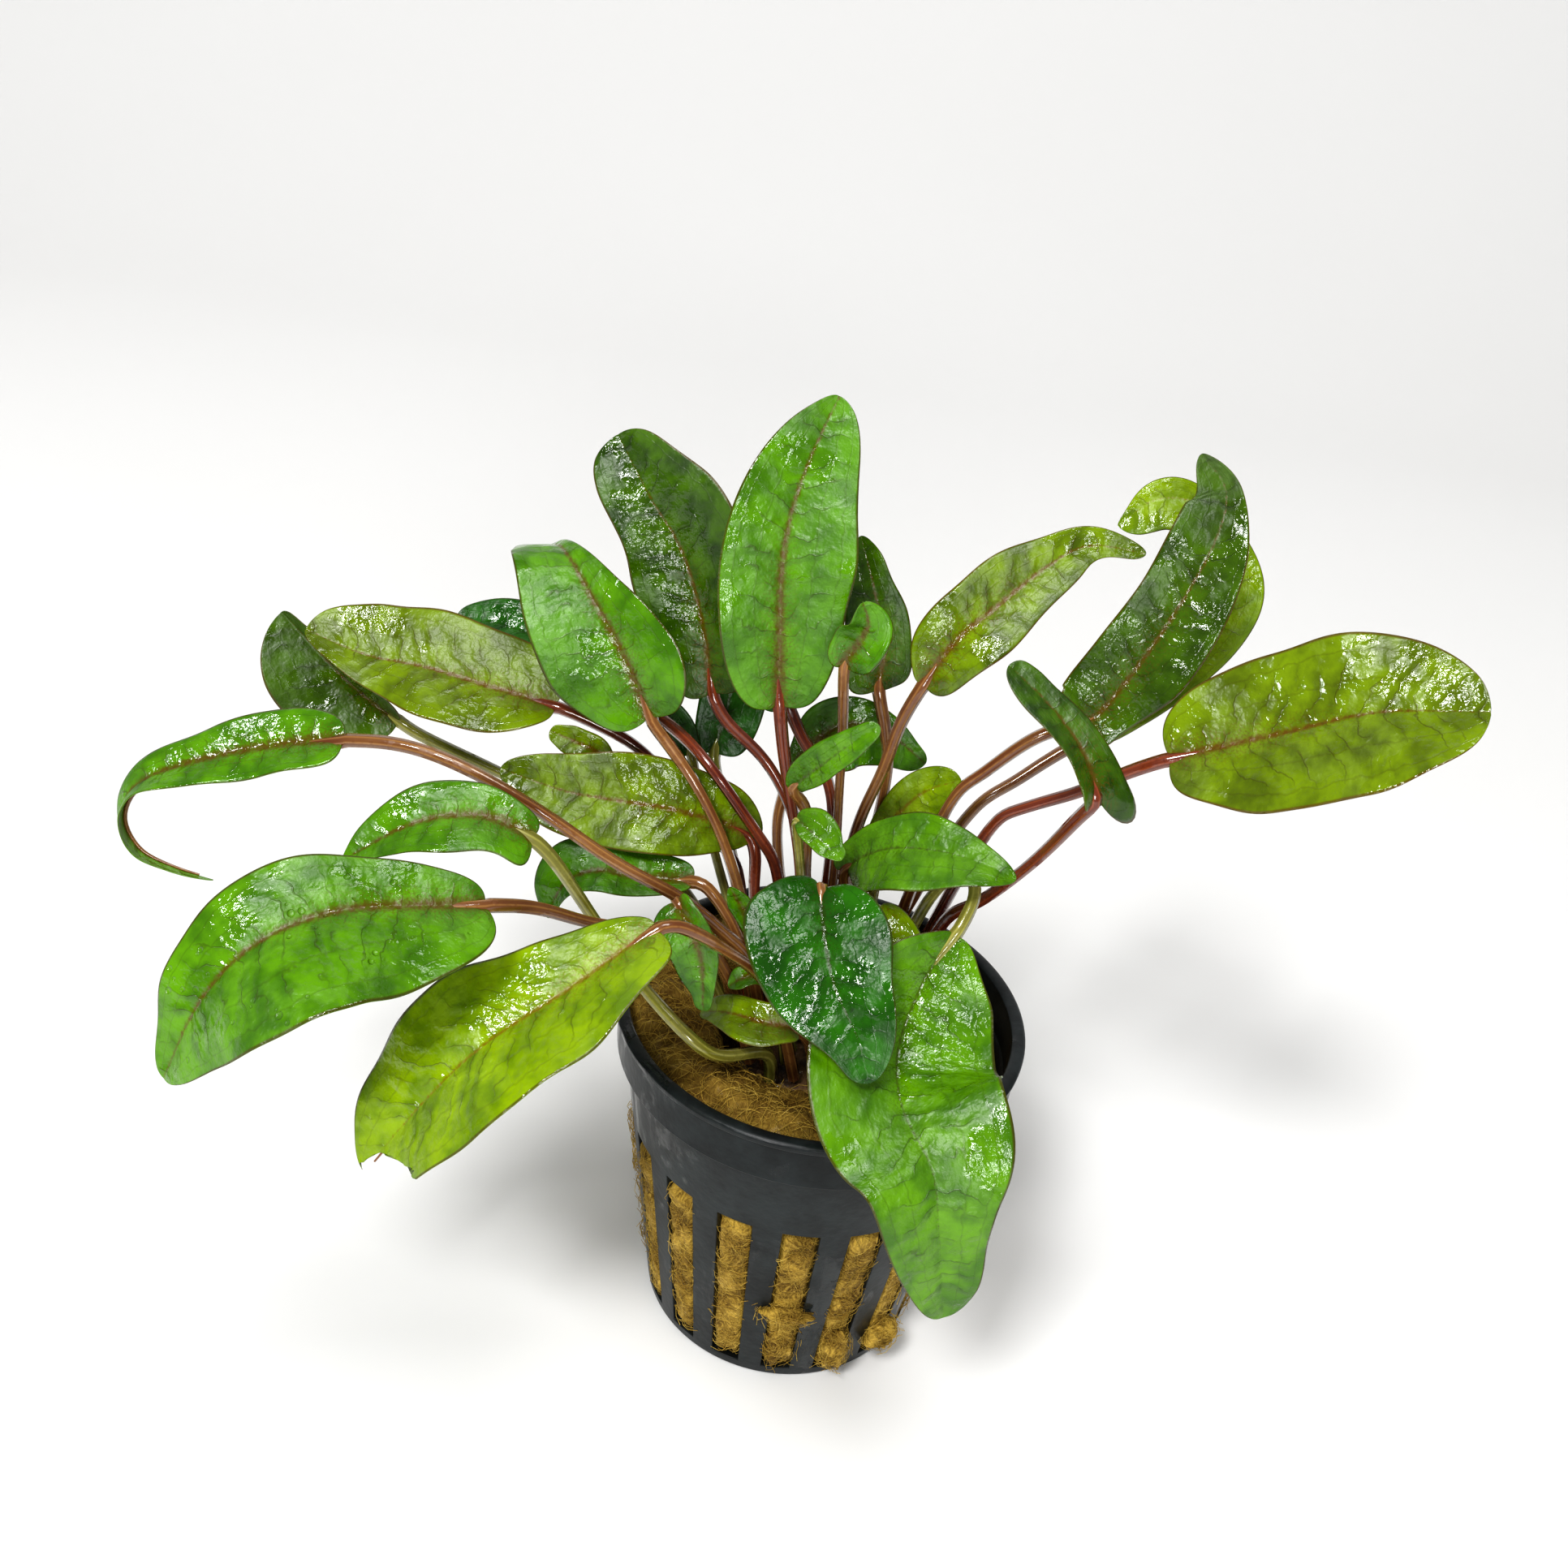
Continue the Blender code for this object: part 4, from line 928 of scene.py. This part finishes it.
# %% Make the leaves
def plain_mesh(name, points, faces):
    """A smooth mesh from points in mm."""
    mesh = bpy.data.meshes.new(name)
    mesh.from_pydata((np.asarray(points) * MM).tolist(), [], faces)
    mesh.shade_smooth()
    return mesh


def loop_vertices(mesh):
    indices = np.empty(len(mesh.loops), np.int32)
    mesh.loops.foreach_get("vertex_index", indices)
    return indices


def blade_mesh(leaf, line, rng):
    sheet = blade_sheet(leaf, line, rng)
    quads, caps = sheet.faces
    mesh = plain_mesh(leaf.name, sheet.points, quads.tolist() + caps)
    corners = loop_vertices(mesh)
    for label, values in (("share", sheet.share), ("place", sheet.place)):
        layer = mesh.uv_layers.new(name=label)
        layer.data.foreach_set("uv", values[corners].astype(np.float32).ravel())
    under = mesh.attributes.new("under", "FLOAT", "FACE")
    under.data.foreach_set("value", np.append(sheet.under, [0, 0]).astype(np.float32))
    tint = mesh.attributes.new("tint", "FLOAT", "FACE")
    tint.data.foreach_set("value", np.full(len(mesh.polygons), rng.random(), np.float32))
    mesh.materials.append(LEAF_FINISHES[leaf_tone(leaf)])
    return mesh


def stalk_mesh(leaf, line):
    """The stalk, and the midrib that carries on under the blade."""
    count = max(8, int(line.base / STALK_POINT_STEP))
    below = np.linspace(0, line.base, count, endpoint=False)
    spots = spots_on(line.path, line.reach, below)
    t = np.linspace(0, 0.96, max(6, int(line.length / STALK_POINT_STEP)))
    rib_spots, way, side, up = line.frames(t)
    thin = min(1.0, 0.55 + line.length / 40)
    rib_radius = np.interp(t, [0, 0.12, 1], [RIB_RADIUS * 1.7, RIB_RADIUS, TIP_RADIUS])
    sink = np.interp(t, [0, 0.12], [0.3, 1.0]) * (rib_radius * thin + RIB_COVER)
    points = np.concatenate([spots, rib_spots - up * sink[:, None]])
    radius = np.interp(below, [0, 0.7 * line.base, line.base],
                       [STALK_RADIUS, STALK_RADIUS * 0.8, STALK_RADIUS * 0.95])
    radius = np.concatenate([radius, rib_radius]) * thin
    mesh = bpy.data.meshes.new(leaf.name + " line")
    edges = [(i, i + 1) for i in range(len(points) - 1)]
    mesh.from_pydata((points * MM).tolist(), edges, [])
    kept = mesh.attributes.new("radius", "FLOAT", "POINT")
    kept.data.foreach_set("value", (radius * MM).astype(np.float32))
    return mesh


def leaf_tone(leaf):
    return OTHER_TONES.get(leaf.name, leaf.tone)


def leaf_stalk_tone(leaf):
    if leaf.name in RED_STALKS:
        return "red"
    return "pale" if leaf.name in PALE_STALKS else "tan"


def join(name, meshes):
    """One object from several meshes."""
    things = []
    for mesh in meshes:
        thing = bpy.data.objects.new(name, mesh)
        bpy.context.scene.collection.objects.link(thing)
        things.append(thing)
    with bpy.context.temp_override(active_object=things[0], object=things[0],
                                   selected_editable_objects=things,
                                   selected_objects=things):
        bpy.ops.object.join()
    things[0].name = name
    return things[0]


def triangles(thing):
    thing.data.calc_loop_triangles()
    return len(thing.data.loop_triangles)


STALK_TREE = stalk_tree()
leaf_total = 0
for number, leaf in enumerate(LEAVES):
    line = LeafLine(leaf)
    rng = np.random.default_rng(100 + number)
    stalk = grown_mesh(leaf.name + " stalk", stalk_mesh(leaf, line), STALK_TREE,
                       Ribs=STALK_RIBS, Rib_depth=RIB_DEPTH,
                       Finish=STALK_FINISHES[leaf_stalk_tone(leaf)])
    stalk.shade_smooth()
    piece = join(leaf.name.replace("leaf_", "") + "_leaf",
                 [blade_mesh(leaf, line, rng), stalk])
    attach(piece, "root")
    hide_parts(leaf.name)
    leaf_total += triangles(piece)
print("leaves made of", leaf_total, "triangles")


# %% [markdown]
# The pot is one moulding: a tapered cup with a collar, a rounded lip and seventeen upright
# slots. Turning its cross-section about the axis makes the cup. Where a column of faces
# lies in a slot it is left out, and four strips close the cut through the wall. A bevel
# softens every edge as the mould does.

# %% Pot sizes, in mm
POT_HEIGHT = 51.0
RIM_RADIUS = 27.5
LIP_DEPTH = 1.2
COLLAR_RADIUS = 26.8
COLLAR_BOTTOM = 43.5
COLLAR_SLOPE = 1.5
NECK_RADIUS = 25.6
BASE_RADIUS = 19.4
WALL = 1.2
FLOOR = 1.4
SLOT_COUNT = 17
SLOT_BOTTOM = 1.8
SLOT_TOP = 32.5
SLOT_DEGREES = 11.6
FIRST_SLOT_DEGREES = -87.4
SLOT_COLUMNS = 4
RIB_COLUMNS = 4
EDGE_BEVEL = 0.28


def wall_radius(height):
    return BASE_RADIUS + (NECK_RADIUS - BASE_RADIUS) * height / COLLAR_BOTTOM


def pot_angles():
    """Column angles round the pot, and whether the strip after each lies in a slot."""
    pitch = 360 / SLOT_COUNT
    angles, open_strip = [], []
    for i in range(SLOT_COUNT):
        start = FIRST_SLOT_DEGREES + i * pitch - SLOT_DEGREES / 2
        for k in range(SLOT_COLUMNS):
            angles.append(start + SLOT_DEGREES * k / SLOT_COLUMNS)
            open_strip.append(True)
        for k in range(RIB_COLUMNS):
            rib = pitch - SLOT_DEGREES
            angles.append(start + SLOT_DEGREES + rib * k / RIB_COLUMNS)
            open_strip.append(False)
    return np.radians(angles), open_strip


def pot_side_view():
    """The wall's outline from the middle of the foot, over the lip, to the floor."""
    bore = COLLAR_RADIUS - WALL
    lip_low = POT_HEIGHT - LIP_DEPTH
    lip_middle = POT_HEIGHT - 0.5
    outer = [(wall_radius(z), z) for z in (SLOT_BOTTOM, SLOT_TOP, COLLAR_BOTTOM - 0.4)]
    outer += [(NECK_RADIUS + 0.25, COLLAR_BOTTOM), (COLLAR_RADIUS, COLLAR_BOTTOM + 0.35),
              (COLLAR_RADIUS + 0.1, lip_low - 0.3), (RIM_RADIUS - 0.1, lip_low)]
    for step in range(7):
        a = math.radians(30 * step)
        middle = 0.5 * (RIM_RADIUS + bore)
        half = 0.5 * (RIM_RADIUS - bore)
        outer.append((middle + half * math.cos(a), lip_middle + 0.5 * math.sin(a)))
    inner = [(bore, COLLAR_BOTTOM + COLLAR_SLOPE), (NECK_RADIUS - WALL, COLLAR_BOTTOM),
             (wall_radius(SLOT_TOP) - WALL, SLOT_TOP),
             (wall_radius(SLOT_BOTTOM) - WALL, SLOT_BOTTOM)]
    foot = [(0.0, 0.0), (BASE_RADIUS - 0.5, 0.0), (BASE_RADIUS, 0.3)]
    floor = [(BASE_RADIUS - WALL - 0.3, FLOOR), (0.0, FLOOR)]
    return foot + outer + inner + floor, len(foot), len(foot) + len(outer) + 2


def pot_mesh():
    loop, low, inner_high = pot_side_view()
    angles, open_strip = pot_angles()
    rows = len(loop)
    points = [(r * math.cos(a), r * math.sin(a), z) for a in angles for r, z in loop]
    faces = []
    for i, is_open in enumerate(open_strip):
        near, far = i * rows, (i + 1) % len(angles) * rows
        for j in range(rows - 1):
            if is_open and j in (low, inner_high):
                continue
            faces.append((near + j, far + j, far + j + 1, near + j + 1))
        if is_open:
            faces.append((near + low, far + low, far + inner_high + 1,
                          near + inner_high + 1))
            faces.append((near + inner_high, far + inner_high, far + low + 1,
                          near + low + 1))
            before = open_strip[i - 1]
            after = open_strip[(i + 1) % len(angles)]
            for side, closed in ((near, not before), (far, not after)):
                if closed:
                    faces.append((side + low, side + low + 1, side + inner_high,
                                  side + inner_high + 1))
    mesh = bpy.data.meshes.new("net_pot")
    mesh.from_pydata([tuple(c * MM for c in p) for p in points], [], faces)
    work = bmesh.new()
    work.from_mesh(mesh)
    bmesh.ops.remove_doubles(work, verts=work.verts, dist=1e-6)
    bmesh.ops.recalc_face_normals(work, faces=work.faces)
    work.to_mesh(mesh)
    work.free()
    mesh.shade_smooth()
    return mesh


# %% [markdown]
# Black polypropylene looks slate blue where it is wet and catches the light. Drips run
# down it, so the streaks in its gloss are stretched upright.

# %% Pot finish
def pot_finish():
    made, tree, shader = new_material("wet_black_plastic", Coat_Roughness=0.05,
                                      Coat_IOR=1.33, Specular_IOR_Level=0.25)
    place = add_node(tree, "ShaderNodeTexCoord").outputs["Object"]
    tall = add_node(tree, "ShaderNodeMapping", {"Vector": place, "Scale": (1, 1, 0.22)},
                    vector_type="POINT").outputs["Vector"]
    streaks = ease(tree, noise(tree, tall, 260.0, 4.0, 0.6), 0.42, 0.62)
    film = use_group(tree, WATER_FILM, Patch_scale=70.0, Cover=0.45)
    smear = noise(tree, place, 110.0, 4.0, 0.7)
    body = mix(tree, ease(tree, smear, 0.35, 0.7), colour(0.004, 0.0055, 0.006),
               colour(0.015, 0.020, 0.021))
    tree.links.new(body, shader.inputs["Base Color"])
    wet = calc(tree, "MULTIPLY", film["Film"], streaks)
    rough = add_node(tree, "ShaderNodeMapRange",
                     {"Value": wet, "To Min": 0.38, "To Max": 0.16})
    tree.links.new(rough.outputs["Result"], shader.inputs["Roughness"])
    tree.links.new(calc(tree, "MULTIPLY", wet, 0.35), shader.inputs["Coat Weight"])
    height = calc(tree, "MULTIPLY_ADD", wet, 0.6, noise(tree, place, 800.0, 2.0))
    shape_normal(tree, shader, height, 0.00005)
    return made


# %% Make the pot
pot = bpy.data.objects.new("net_pot", pot_mesh())
bpy.context.scene.collection.objects.link(pot)
pot.data.materials.append(pot_finish())
bevel = pot.modifiers.new("soft edges", "BEVEL")
bevel.width = EDGE_BEVEL * MM
bevel.segments = 2
bevel.limit_method = "ANGLE"
bevel.angle_limit = math.radians(35)
weighted = pot.modifiers.new("even shading", "WEIGHTED_NORMAL")
weighted.keep_sharp = True
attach(pot, "root")
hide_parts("pot")
print("pot made with", SLOT_COUNT, "slots")


# %% [markdown]
# Rock wool is a felt of fine mineral threads. The plug is a lumpy turned body that swells
# into the slots and has a well in the middle for the crown. Two tufts have been pulled out
# through the slots in front. Loose threads stand on everything that can be seen.

# %% Wool body
FIT_GAP = 0.3
WOOL_TOP = 50.0
WOOL_EDGE_TOP = 48.2
WELL_MOUTH_RADIUS = 15.0
WELL_RADIUS = 12.6
WELL_FLOOR = 33.0
WOOL_SWELL = 1.55
WOOL_COLUMNS = 255
WOOL_ROW = 0.85
LUMP_HEIGHT = 0.5
SUNK_SIDE_DEGREES = 25.0
SUNK_DEPTH = 5.5
WOOL_CLEARANCE = 0.25
wool_rng = np.random.default_rng(7)


def lumps(points, rng, length, count=26):
    """Soft random heights around zero from crossing waves about length mm long."""
    total = np.zeros(len(points))
    for _ in range(count):
        way = unit(rng.normal(size=3))
        pace = 2 * math.pi / (length * rng.uniform(0.6, 1.6))
        total += np.sin(points @ way * pace + rng.uniform(0, 2 * math.pi))
    return total / math.sqrt(count / 2)


def inner_radius(height):
    """The pot's bore at a height: the tapered wall, then the wider collar."""
    collar = COLLAR_BOTTOM + COLLAR_SLOPE
    return np.interp(height, [0, COLLAR_BOTTOM, collar],
                     [wall_radius(0) - WALL, NECK_RADIUS - WALL, COLLAR_RADIUS - WALL])


def wool_side_view():
    inside = WALL + FIT_GAP
    edge = COLLAR_RADIUS - inside
    corners = [
        (0.0, FLOOR + FIT_GAP), (BASE_RADIUS - inside, FLOOR + FIT_GAP),
        (NECK_RADIUS - inside, COLLAR_BOTTOM), (edge, COLLAR_BOTTOM + 2.0),
        (edge, WOOL_EDGE_TOP), (edge - 1.5, 0.5 * (WOOL_EDGE_TOP + WOOL_TOP)),
        (0.5 * (COLLAR_RADIUS + WELL_MOUTH_RADIUS), WOOL_TOP),
        (WELL_MOUTH_RADIUS, WOOL_EDGE_TOP), (WELL_RADIUS, 43.6),
        (WELL_RADIUS, WELL_FLOOR), (0.0, WELL_FLOOR),
    ]
    view = []
    for (r1, z1), (r2, z2) in zip(corners, corners[1:]):
        steps = max(1, int(math.hypot(r2 - r1, z2 - z1) / WOOL_ROW))
        view += [(r1 + (r2 - r1) * i / steps, z1 + (z2 - z1) * i / steps)
                 for i in range(steps)]
    return np.array(view + [corners[-1]])


def wool_mesh():
    view = wool_side_view()
    turns = np.linspace(0, 2 * math.pi, WOOL_COLUMNS, endpoint=False)
    pitch = 2 * math.pi / SLOT_COUNT
    offset = (turns - math.radians(FIRST_SLOT_DEGREES) + pitch / 2) % pitch - pitch / 2
    inner_half = math.radians(SLOT_DEGREES) / 2
    in_slot = np.clip((inner_half - np.abs(offset)) / (0.12 * inner_half), 0, 1)
    radius, height = view[:, 0], view[:, 1]
    low = np.clip((height - SLOT_BOTTOM - 0.6) / 1.0, 0, 1)
    high = np.clip((SLOT_TOP - 0.6 - height) / 1.0, 0, 1)
    outside = radius > BASE_RADIUS - WALL - FIT_GAP - 0.1
    swell = WOOL_SWELL * in_slot[:, None] * (low * high * outside)[None, :]
    reach = radius[None, :] + swell
    points = np.stack([reach * np.cos(turns)[:, None], reach * np.sin(turns)[:, None],
                       np.broadcast_to(height, reach.shape)], -1)
    flat = points.reshape(-1, 3)
    rough = 0.6 * lumps(flat, wool_rng, 5.0) + 0.4 * lumps(flat, wool_rng, 1.8)
    top = np.clip((flat[:, 2] - 44.0) / 3.0, 0, 1)
    amount = rough * (0.22 + (LUMP_HEIGHT - 0.22) * top)
    turn = np.degrees(np.arctan2(flat[:, 1], flat[:, 0]))
    sunk = np.clip((80 - np.abs(turn - SUNK_SIDE_DEGREES)) / 35, 0, 1)
    sunk = sunk * sunk * (3 - 2 * sunk) * np.clip((flat[:, 2] - 36) / 8, 0, 1)
    flat[:, 2] -= SUNK_DEPTH * sunk
    across = np.maximum(np.hypot(flat[:, 0], flat[:, 1]), 1e-6)
    room = inner_radius(flat[:, 2]) - WOOL_CLEARANCE + swell.reshape(-1)
    flat[:, :2] *= np.minimum(1, room / across)[:, None]
    out = flat * [1, 1, 0]
    out = out / np.maximum(np.linalg.norm(out, axis=1, keepdims=True), 1e-6)
    away = unit(out * (1 - 0.8 * top)[:, None] + np.array([0, 0, 1.0]) * top[:, None]
                + 1e-6)
    shown = np.maximum(top, np.clip(swell.reshape(-1), 0, 1))
    flat = flat + away * (amount * np.maximum(shown, 0.15))[:, None]
    rows = len(view)
    index = np.arange(len(flat)).reshape(WOOL_COLUMNS, rows)
    following = np.roll(index, -1, axis=0)
    faces = np.stack([index[:, :-1], following[:, :-1], following[:, 1:],
                      index[:, 1:]], -1).reshape(-1, 4)
    return flat, faces.tolist(), shown


def tuft(centre, size, rng):
    """A torn lump of wool; size is its half lengths along x, y and z, in mm."""
    work = bmesh.new()
    bmesh.ops.create_icosphere(work, subdivisions=4, radius=1.0)
    points = np.array([v.co for v in work.verts])
    faces = [[v.index for v in f.verts] for f in work.faces]
    work.free()
    swollen = 1 + 0.13 * lumps(points * 3, rng, 3.2) + 0.07 * lumps(points * 3, rng, 1.0)
    return points * swollen[:, None] * size + centre, faces, np.ones(len(points))


def wool_source():
    """The plug and its tufts as one mesh."""
    parts = [wool_mesh()]
    for centre, size in TUFTS:
        parts.append(tuft(np.array(centre), np.array(size), wool_rng))
    points, faces, shown = [], [], []
    for spots, corners, mark in parts:
        faces += [[k + sum(map(len, points)) for k in f] for f in corners]
        points.append(spots)
        shown.append(mark)
    mesh = plain_mesh("rock_wool_plug", np.concatenate(points), faces)
    work = bmesh.new()
    work.from_mesh(mesh)
    bmesh.ops.remove_doubles(work, verts=work.verts, dist=1e-7)
    bmesh.ops.recalc_face_normals(work, faces=work.faces)
    work.to_mesh(mesh)
    work.free()
    mesh.shade_smooth()
    return mesh


TUFTS = (
    ((0.9, -21.6, 15.3), (3.6, 1.5, 1.2)),
    ((0.9, -20.0, 8.0), (1.9, 1.3, 4.5)),
    ((8.4, -18.6, 6.5), (1.6, 1.5, 4.0)),
    ((14.6, -15.2, 6.5), (2.4, 2.2, 1.8)),
)
print(len(TUFTS), "tufts of wool outside the slots")


# %% [markdown]
# The threads are short bent hairs, a few dozen faces each, that Geometry Nodes scatter on
# the wool: points are spread over the marked faces, and each gets a hair that is turned
# and sized at random.

# %% Wool threads
THREAD_RADIUS = 0.034
THREAD_LENGTH = 3.2
THREAD_DENSITY = 1.4


def thread_tree():
    """Scatters bent hairs on a mesh, thickest where its attribute shown is one."""
    tree = bpy.data.node_groups.new("wool threads", "GeometryNodeTree")
    face = tree.interface
    face.new_socket(name="Wool", in_out="INPUT", socket_type="NodeSocketGeometry")
    for label in ("Density", "Length", "Thickness"):
        face.new_socket(name=label, in_out="INPUT", socket_type="NodeSocketFloat")
    face.new_socket(name="Seed", in_out="INPUT", socket_type="NodeSocketInt")
    face.new_socket(name="Finish", in_out="INPUT", socket_type="NodeSocketMaterial")
    face.new_socket(name="Threads", in_out="OUTPUT", socket_type="NodeSocketGeometry")
    given = tree.nodes.new("NodeGroupInput").outputs
    result = tree.nodes.new("NodeGroupOutput").inputs
    shown = add_node(tree, "GeometryNodeInputNamedAttribute", {"Name": "shown"},
                     data_type="FLOAT").outputs["Attribute"]
    some = calc(tree, "MULTIPLY", shown, given["Density"])
    spread = add_node(tree, "GeometryNodeDistributePointsOnFaces",
                      {"Mesh": given["Wool"], "Density": some, "Seed": given["Seed"]})
    half = calc(tree, "MULTIPLY", given["Length"], 0.5)
    bow = calc(tree, "MULTIPLY", given["Length"], 0.35)
    dip = calc(tree, "MULTIPLY", given["Length"], -0.04)
    start = add_node(tree, "ShaderNodeCombineXYZ",
                     {"X": calc(tree, "MULTIPLY", half, -1.0), "Z": dip}).outputs[0]
    middle = add_node(tree, "ShaderNodeCombineXYZ",
                      {"Y": calc(tree, "MULTIPLY", bow, 0.6), "Z": bow}).outputs[0]
    end = add_node(tree, "ShaderNodeCombineXYZ", {"X": half, "Z": dip}).outputs[0]
    hair = add_node(tree, "GeometryNodeCurveQuadraticBezier",
                    {"Resolution": 3, "Start": start, "Middle": middle, "End": end})
    ring = add_node(tree, "GeometryNodeCurvePrimitiveCircle",
                    {"Resolution": 3, "Radius": given["Thickness"]})
    body = add_node(tree, "GeometryNodeCurveToMesh",
                    {"Curve": hair.outputs["Curve"],
                     "Profile Curve": ring.outputs["Curve"], "Fill Caps": True})
    spin = add_node(tree, "FunctionNodeRandomValue",
                    {0: (-0.35, -0.35, 0.0), 1: (0.35, 0.35, 6.283), "Seed": 3},
                    data_type="FLOAT_VECTOR").outputs[0]
    turned = add_node(tree, "FunctionNodeRotateRotation",
                      {"Rotation": spread.outputs["Rotation"], "Rotate By": spin},
                      rotation_space="LOCAL").outputs[0]
    scale = add_node(tree, "FunctionNodeRandomValue",
                     {2: 0.45, 3: 1.35, "Seed": 5}, data_type="FLOAT").outputs[1]
    placed = add_node(tree, "GeometryNodeInstanceOnPoints",
                      {"Points": spread.outputs["Points"],
                       "Instance": body.outputs["Mesh"], "Rotation": turned,
                       "Scale": scale})
    real = add_node(tree, "GeometryNodeRealizeInstances",
                    {"Geometry": placed.outputs["Instances"]})
    done = add_node(tree, "GeometryNodeSetMaterial",
                    {"Geometry": real.outputs["Geometry"], "Material": given["Finish"]})
    tree.links.new(done.outputs["Geometry"], result["Threads"])
    return tree


# %% Wool finish
def wool_finish(name, dark, light, shine, top_darkening):
    """Felted threads, golden in the slots; top_darkening says how much darker they grow
    towards the top.
    """
    made, tree, shader = new_material(name, Coat_Roughness=0.12, Coat_IOR=1.33,
                                      Specular_IOR_Level=0.2)
    place = add_node(tree, "ShaderNodeTexCoord").outputs["Object"]
    warp = add_node(tree, "ShaderNodeTexNoise", {"Vector": place, "Scale": 160.0})
    bent = add_node(tree, "ShaderNodeVectorMath",
                    {0: warp.outputs["Color"], 1: (0.012, 0.012, 0.012), 2: place},
                    operation="MULTIPLY_ADD").outputs["Vector"]
    squeezed = add_node(tree, "ShaderNodeMapping",
                        {"Vector": bent, "Scale": (1.0, 0.18, 1.0)}).outputs["Vector"]
    strands = noise(tree, squeezed, 2600.0, 3.0, 0.7)
    clumps = noise(tree, place, 260.0, 4.0, 0.6)
    share = calc(tree, "MULTIPLY_ADD", ease(tree, clumps, 0.35, 0.68), 0.55,
                 calc(tree, "MULTIPLY", ease(tree, strands, 0.4, 0.65), 0.45))
    body = mix(tree, share, colour(*dark), colour(*light))
    tall = add_node(tree, "ShaderNodeSeparateXYZ", {"Vector": place}).outputs["Z"]
    # The colour grows darker towards the top of the plug, from 36 mm to 43 mm high.
    top = ease(tree, tall, 0.036, 0.043, 0.0, top_darkening)
    body = mix(tree, top, body, colour(*dark))
    tree.links.new(body, shader.inputs["Base Color"])
    rough = ease(tree, strands, 0.5, 0.7, 0.75, 0.35)
    tree.links.new(rough, shader.inputs["Roughness"])
    wet = calc(tree, "MULTIPLY", ease(tree, clumps, 0.5, 0.62), shine)
    tree.links.new(wet, shader.inputs["Coat Weight"])
    height = calc(tree, "MULTIPLY_ADD", clumps, 1.6, strands)
    shape_normal(tree, shader, height, 0.00035)
    return made


WOOL_BODY = wool_finish("wet_rock_wool", (0.085, 0.042, 0.004), (0.68, 0.45, 0.075), 0.2,
                        0.62)
WOOL_THREAD = wool_finish("wool_thread", (0.30, 0.17, 0.02), (0.78, 0.56, 0.12), 0.4,
                          0.2)

# %% Make the wool
source = wool_source()
shown = source.attributes.new("shown", "FLOAT", "POINT")
spots = np.empty(len(source.vertices) * 3, np.float32)
source.vertices.foreach_get("co", spots)
spots = spots.reshape(-1, 3) / MM
reach = np.hypot(spots[:, 0], spots[:, 1])
top_part = (spots[:, 2] > 46.5) & (reach > WELL_RADIUS - 0.5)
slot_part = (reach > wall_radius(spots[:, 2]) - WALL - 0.2) & (spots[:, 2] < SLOT_TOP)
shown.data.foreach_set("value", (top_part | slot_part).astype(np.float32))
threads = grown_mesh("wool threads", source.copy(), thread_tree(),
                     Density=THREAD_DENSITY / MM ** 2, Length=THREAD_LENGTH * MM,
                     Thickness=THREAD_RADIUS * MM, Seed=11, Finish=WOOL_THREAD)
source.materials.append(WOOL_BODY)
wool = join("rock_wool_plug", [source, threads])
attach(wool, "root")
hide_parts("rock_wool")
MOST_TRIANGLES = 200000
print("wool made of", triangles(wool), "triangles")
assert triangles(wool) < MOST_TRIANGLES, "fewer threads or columns are needed"


# %% [markdown]
# The crown is a short knobbly rootstock, dark and wet at the bottom of the well. Only
# glimpses of it show between the stalks, and fine roots run from it into the wool.

# %% Crown
CROWN_CENTRE = (-0.5, 0.0)
CROWN_RADIUS = 10.6
CROWN_LOW = 33.4
CROWN_HIGH = 43.4
crown_rng = np.random.default_rng(21)


def crown_mesh():
    """A dome with knobs, closed underneath."""
    work = bmesh.new()
    bmesh.ops.create_uvsphere(work, u_segments=96, v_segments=48, radius=1.0)
    points = np.array([v.co for v in work.verts])
    faces = [[v.index for v in f.verts] for f in work.faces]
    work.free()
    boxy = np.sign(points) * np.abs(points) ** 0.55
    boxy = boxy / np.maximum(1.0, np.linalg.norm(boxy[:, :2], axis=1))[:, None] ** 0.9
    height = 0.5 * (CROWN_HIGH - CROWN_LOW)
    spots = boxy * [CROWN_RADIUS - 0.5, CROWN_RADIUS - 0.5, height - 0.3]
    spots += points * (0.28 * lumps(spots, crown_rng, 3.0)
                       + 0.12 * lumps(spots, crown_rng, 1.0))[:, None]
    spots += [*CROWN_CENTRE, CROWN_LOW + height]
    return plain_mesh("rootstock", spots, faces)


def crown_finish():
    made, tree, shader = new_material("wet_rootstock", Coat_Roughness=0.1)
    place = add_node(tree, "ShaderNodeTexCoord").outputs["Object"]
    film = use_group(tree, WATER_FILM, Patch_scale=200.0, Cover=0.45)
    patches = ease(tree, noise(tree, place, 350.0, 4.0, 0.65), 0.35, 0.65)
    body = mix(tree, patches, colour(0.035, 0.016, 0.007), colour(0.20, 0.11, 0.045))
    tree.links.new(body, shader.inputs["Base Color"])
    tree.links.new(ease(tree, patches, 0, 1, 0.5, 0.85), shader.inputs["Roughness"])
    tree.links.new(film["Film"], shader.inputs["Coat Weight"])
    shape_normal(tree, shader, noise(tree, place, 900.0, 4.0, 0.7), 0.0003)
    return made


crown = bpy.data.objects.new("rootstock", crown_mesh())
bpy.context.scene.collection.objects.link(crown)
crown.data.materials.append(crown_finish())
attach(crown, "root")
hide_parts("crown")
print("crown made of", triangles(crown), "triangles")
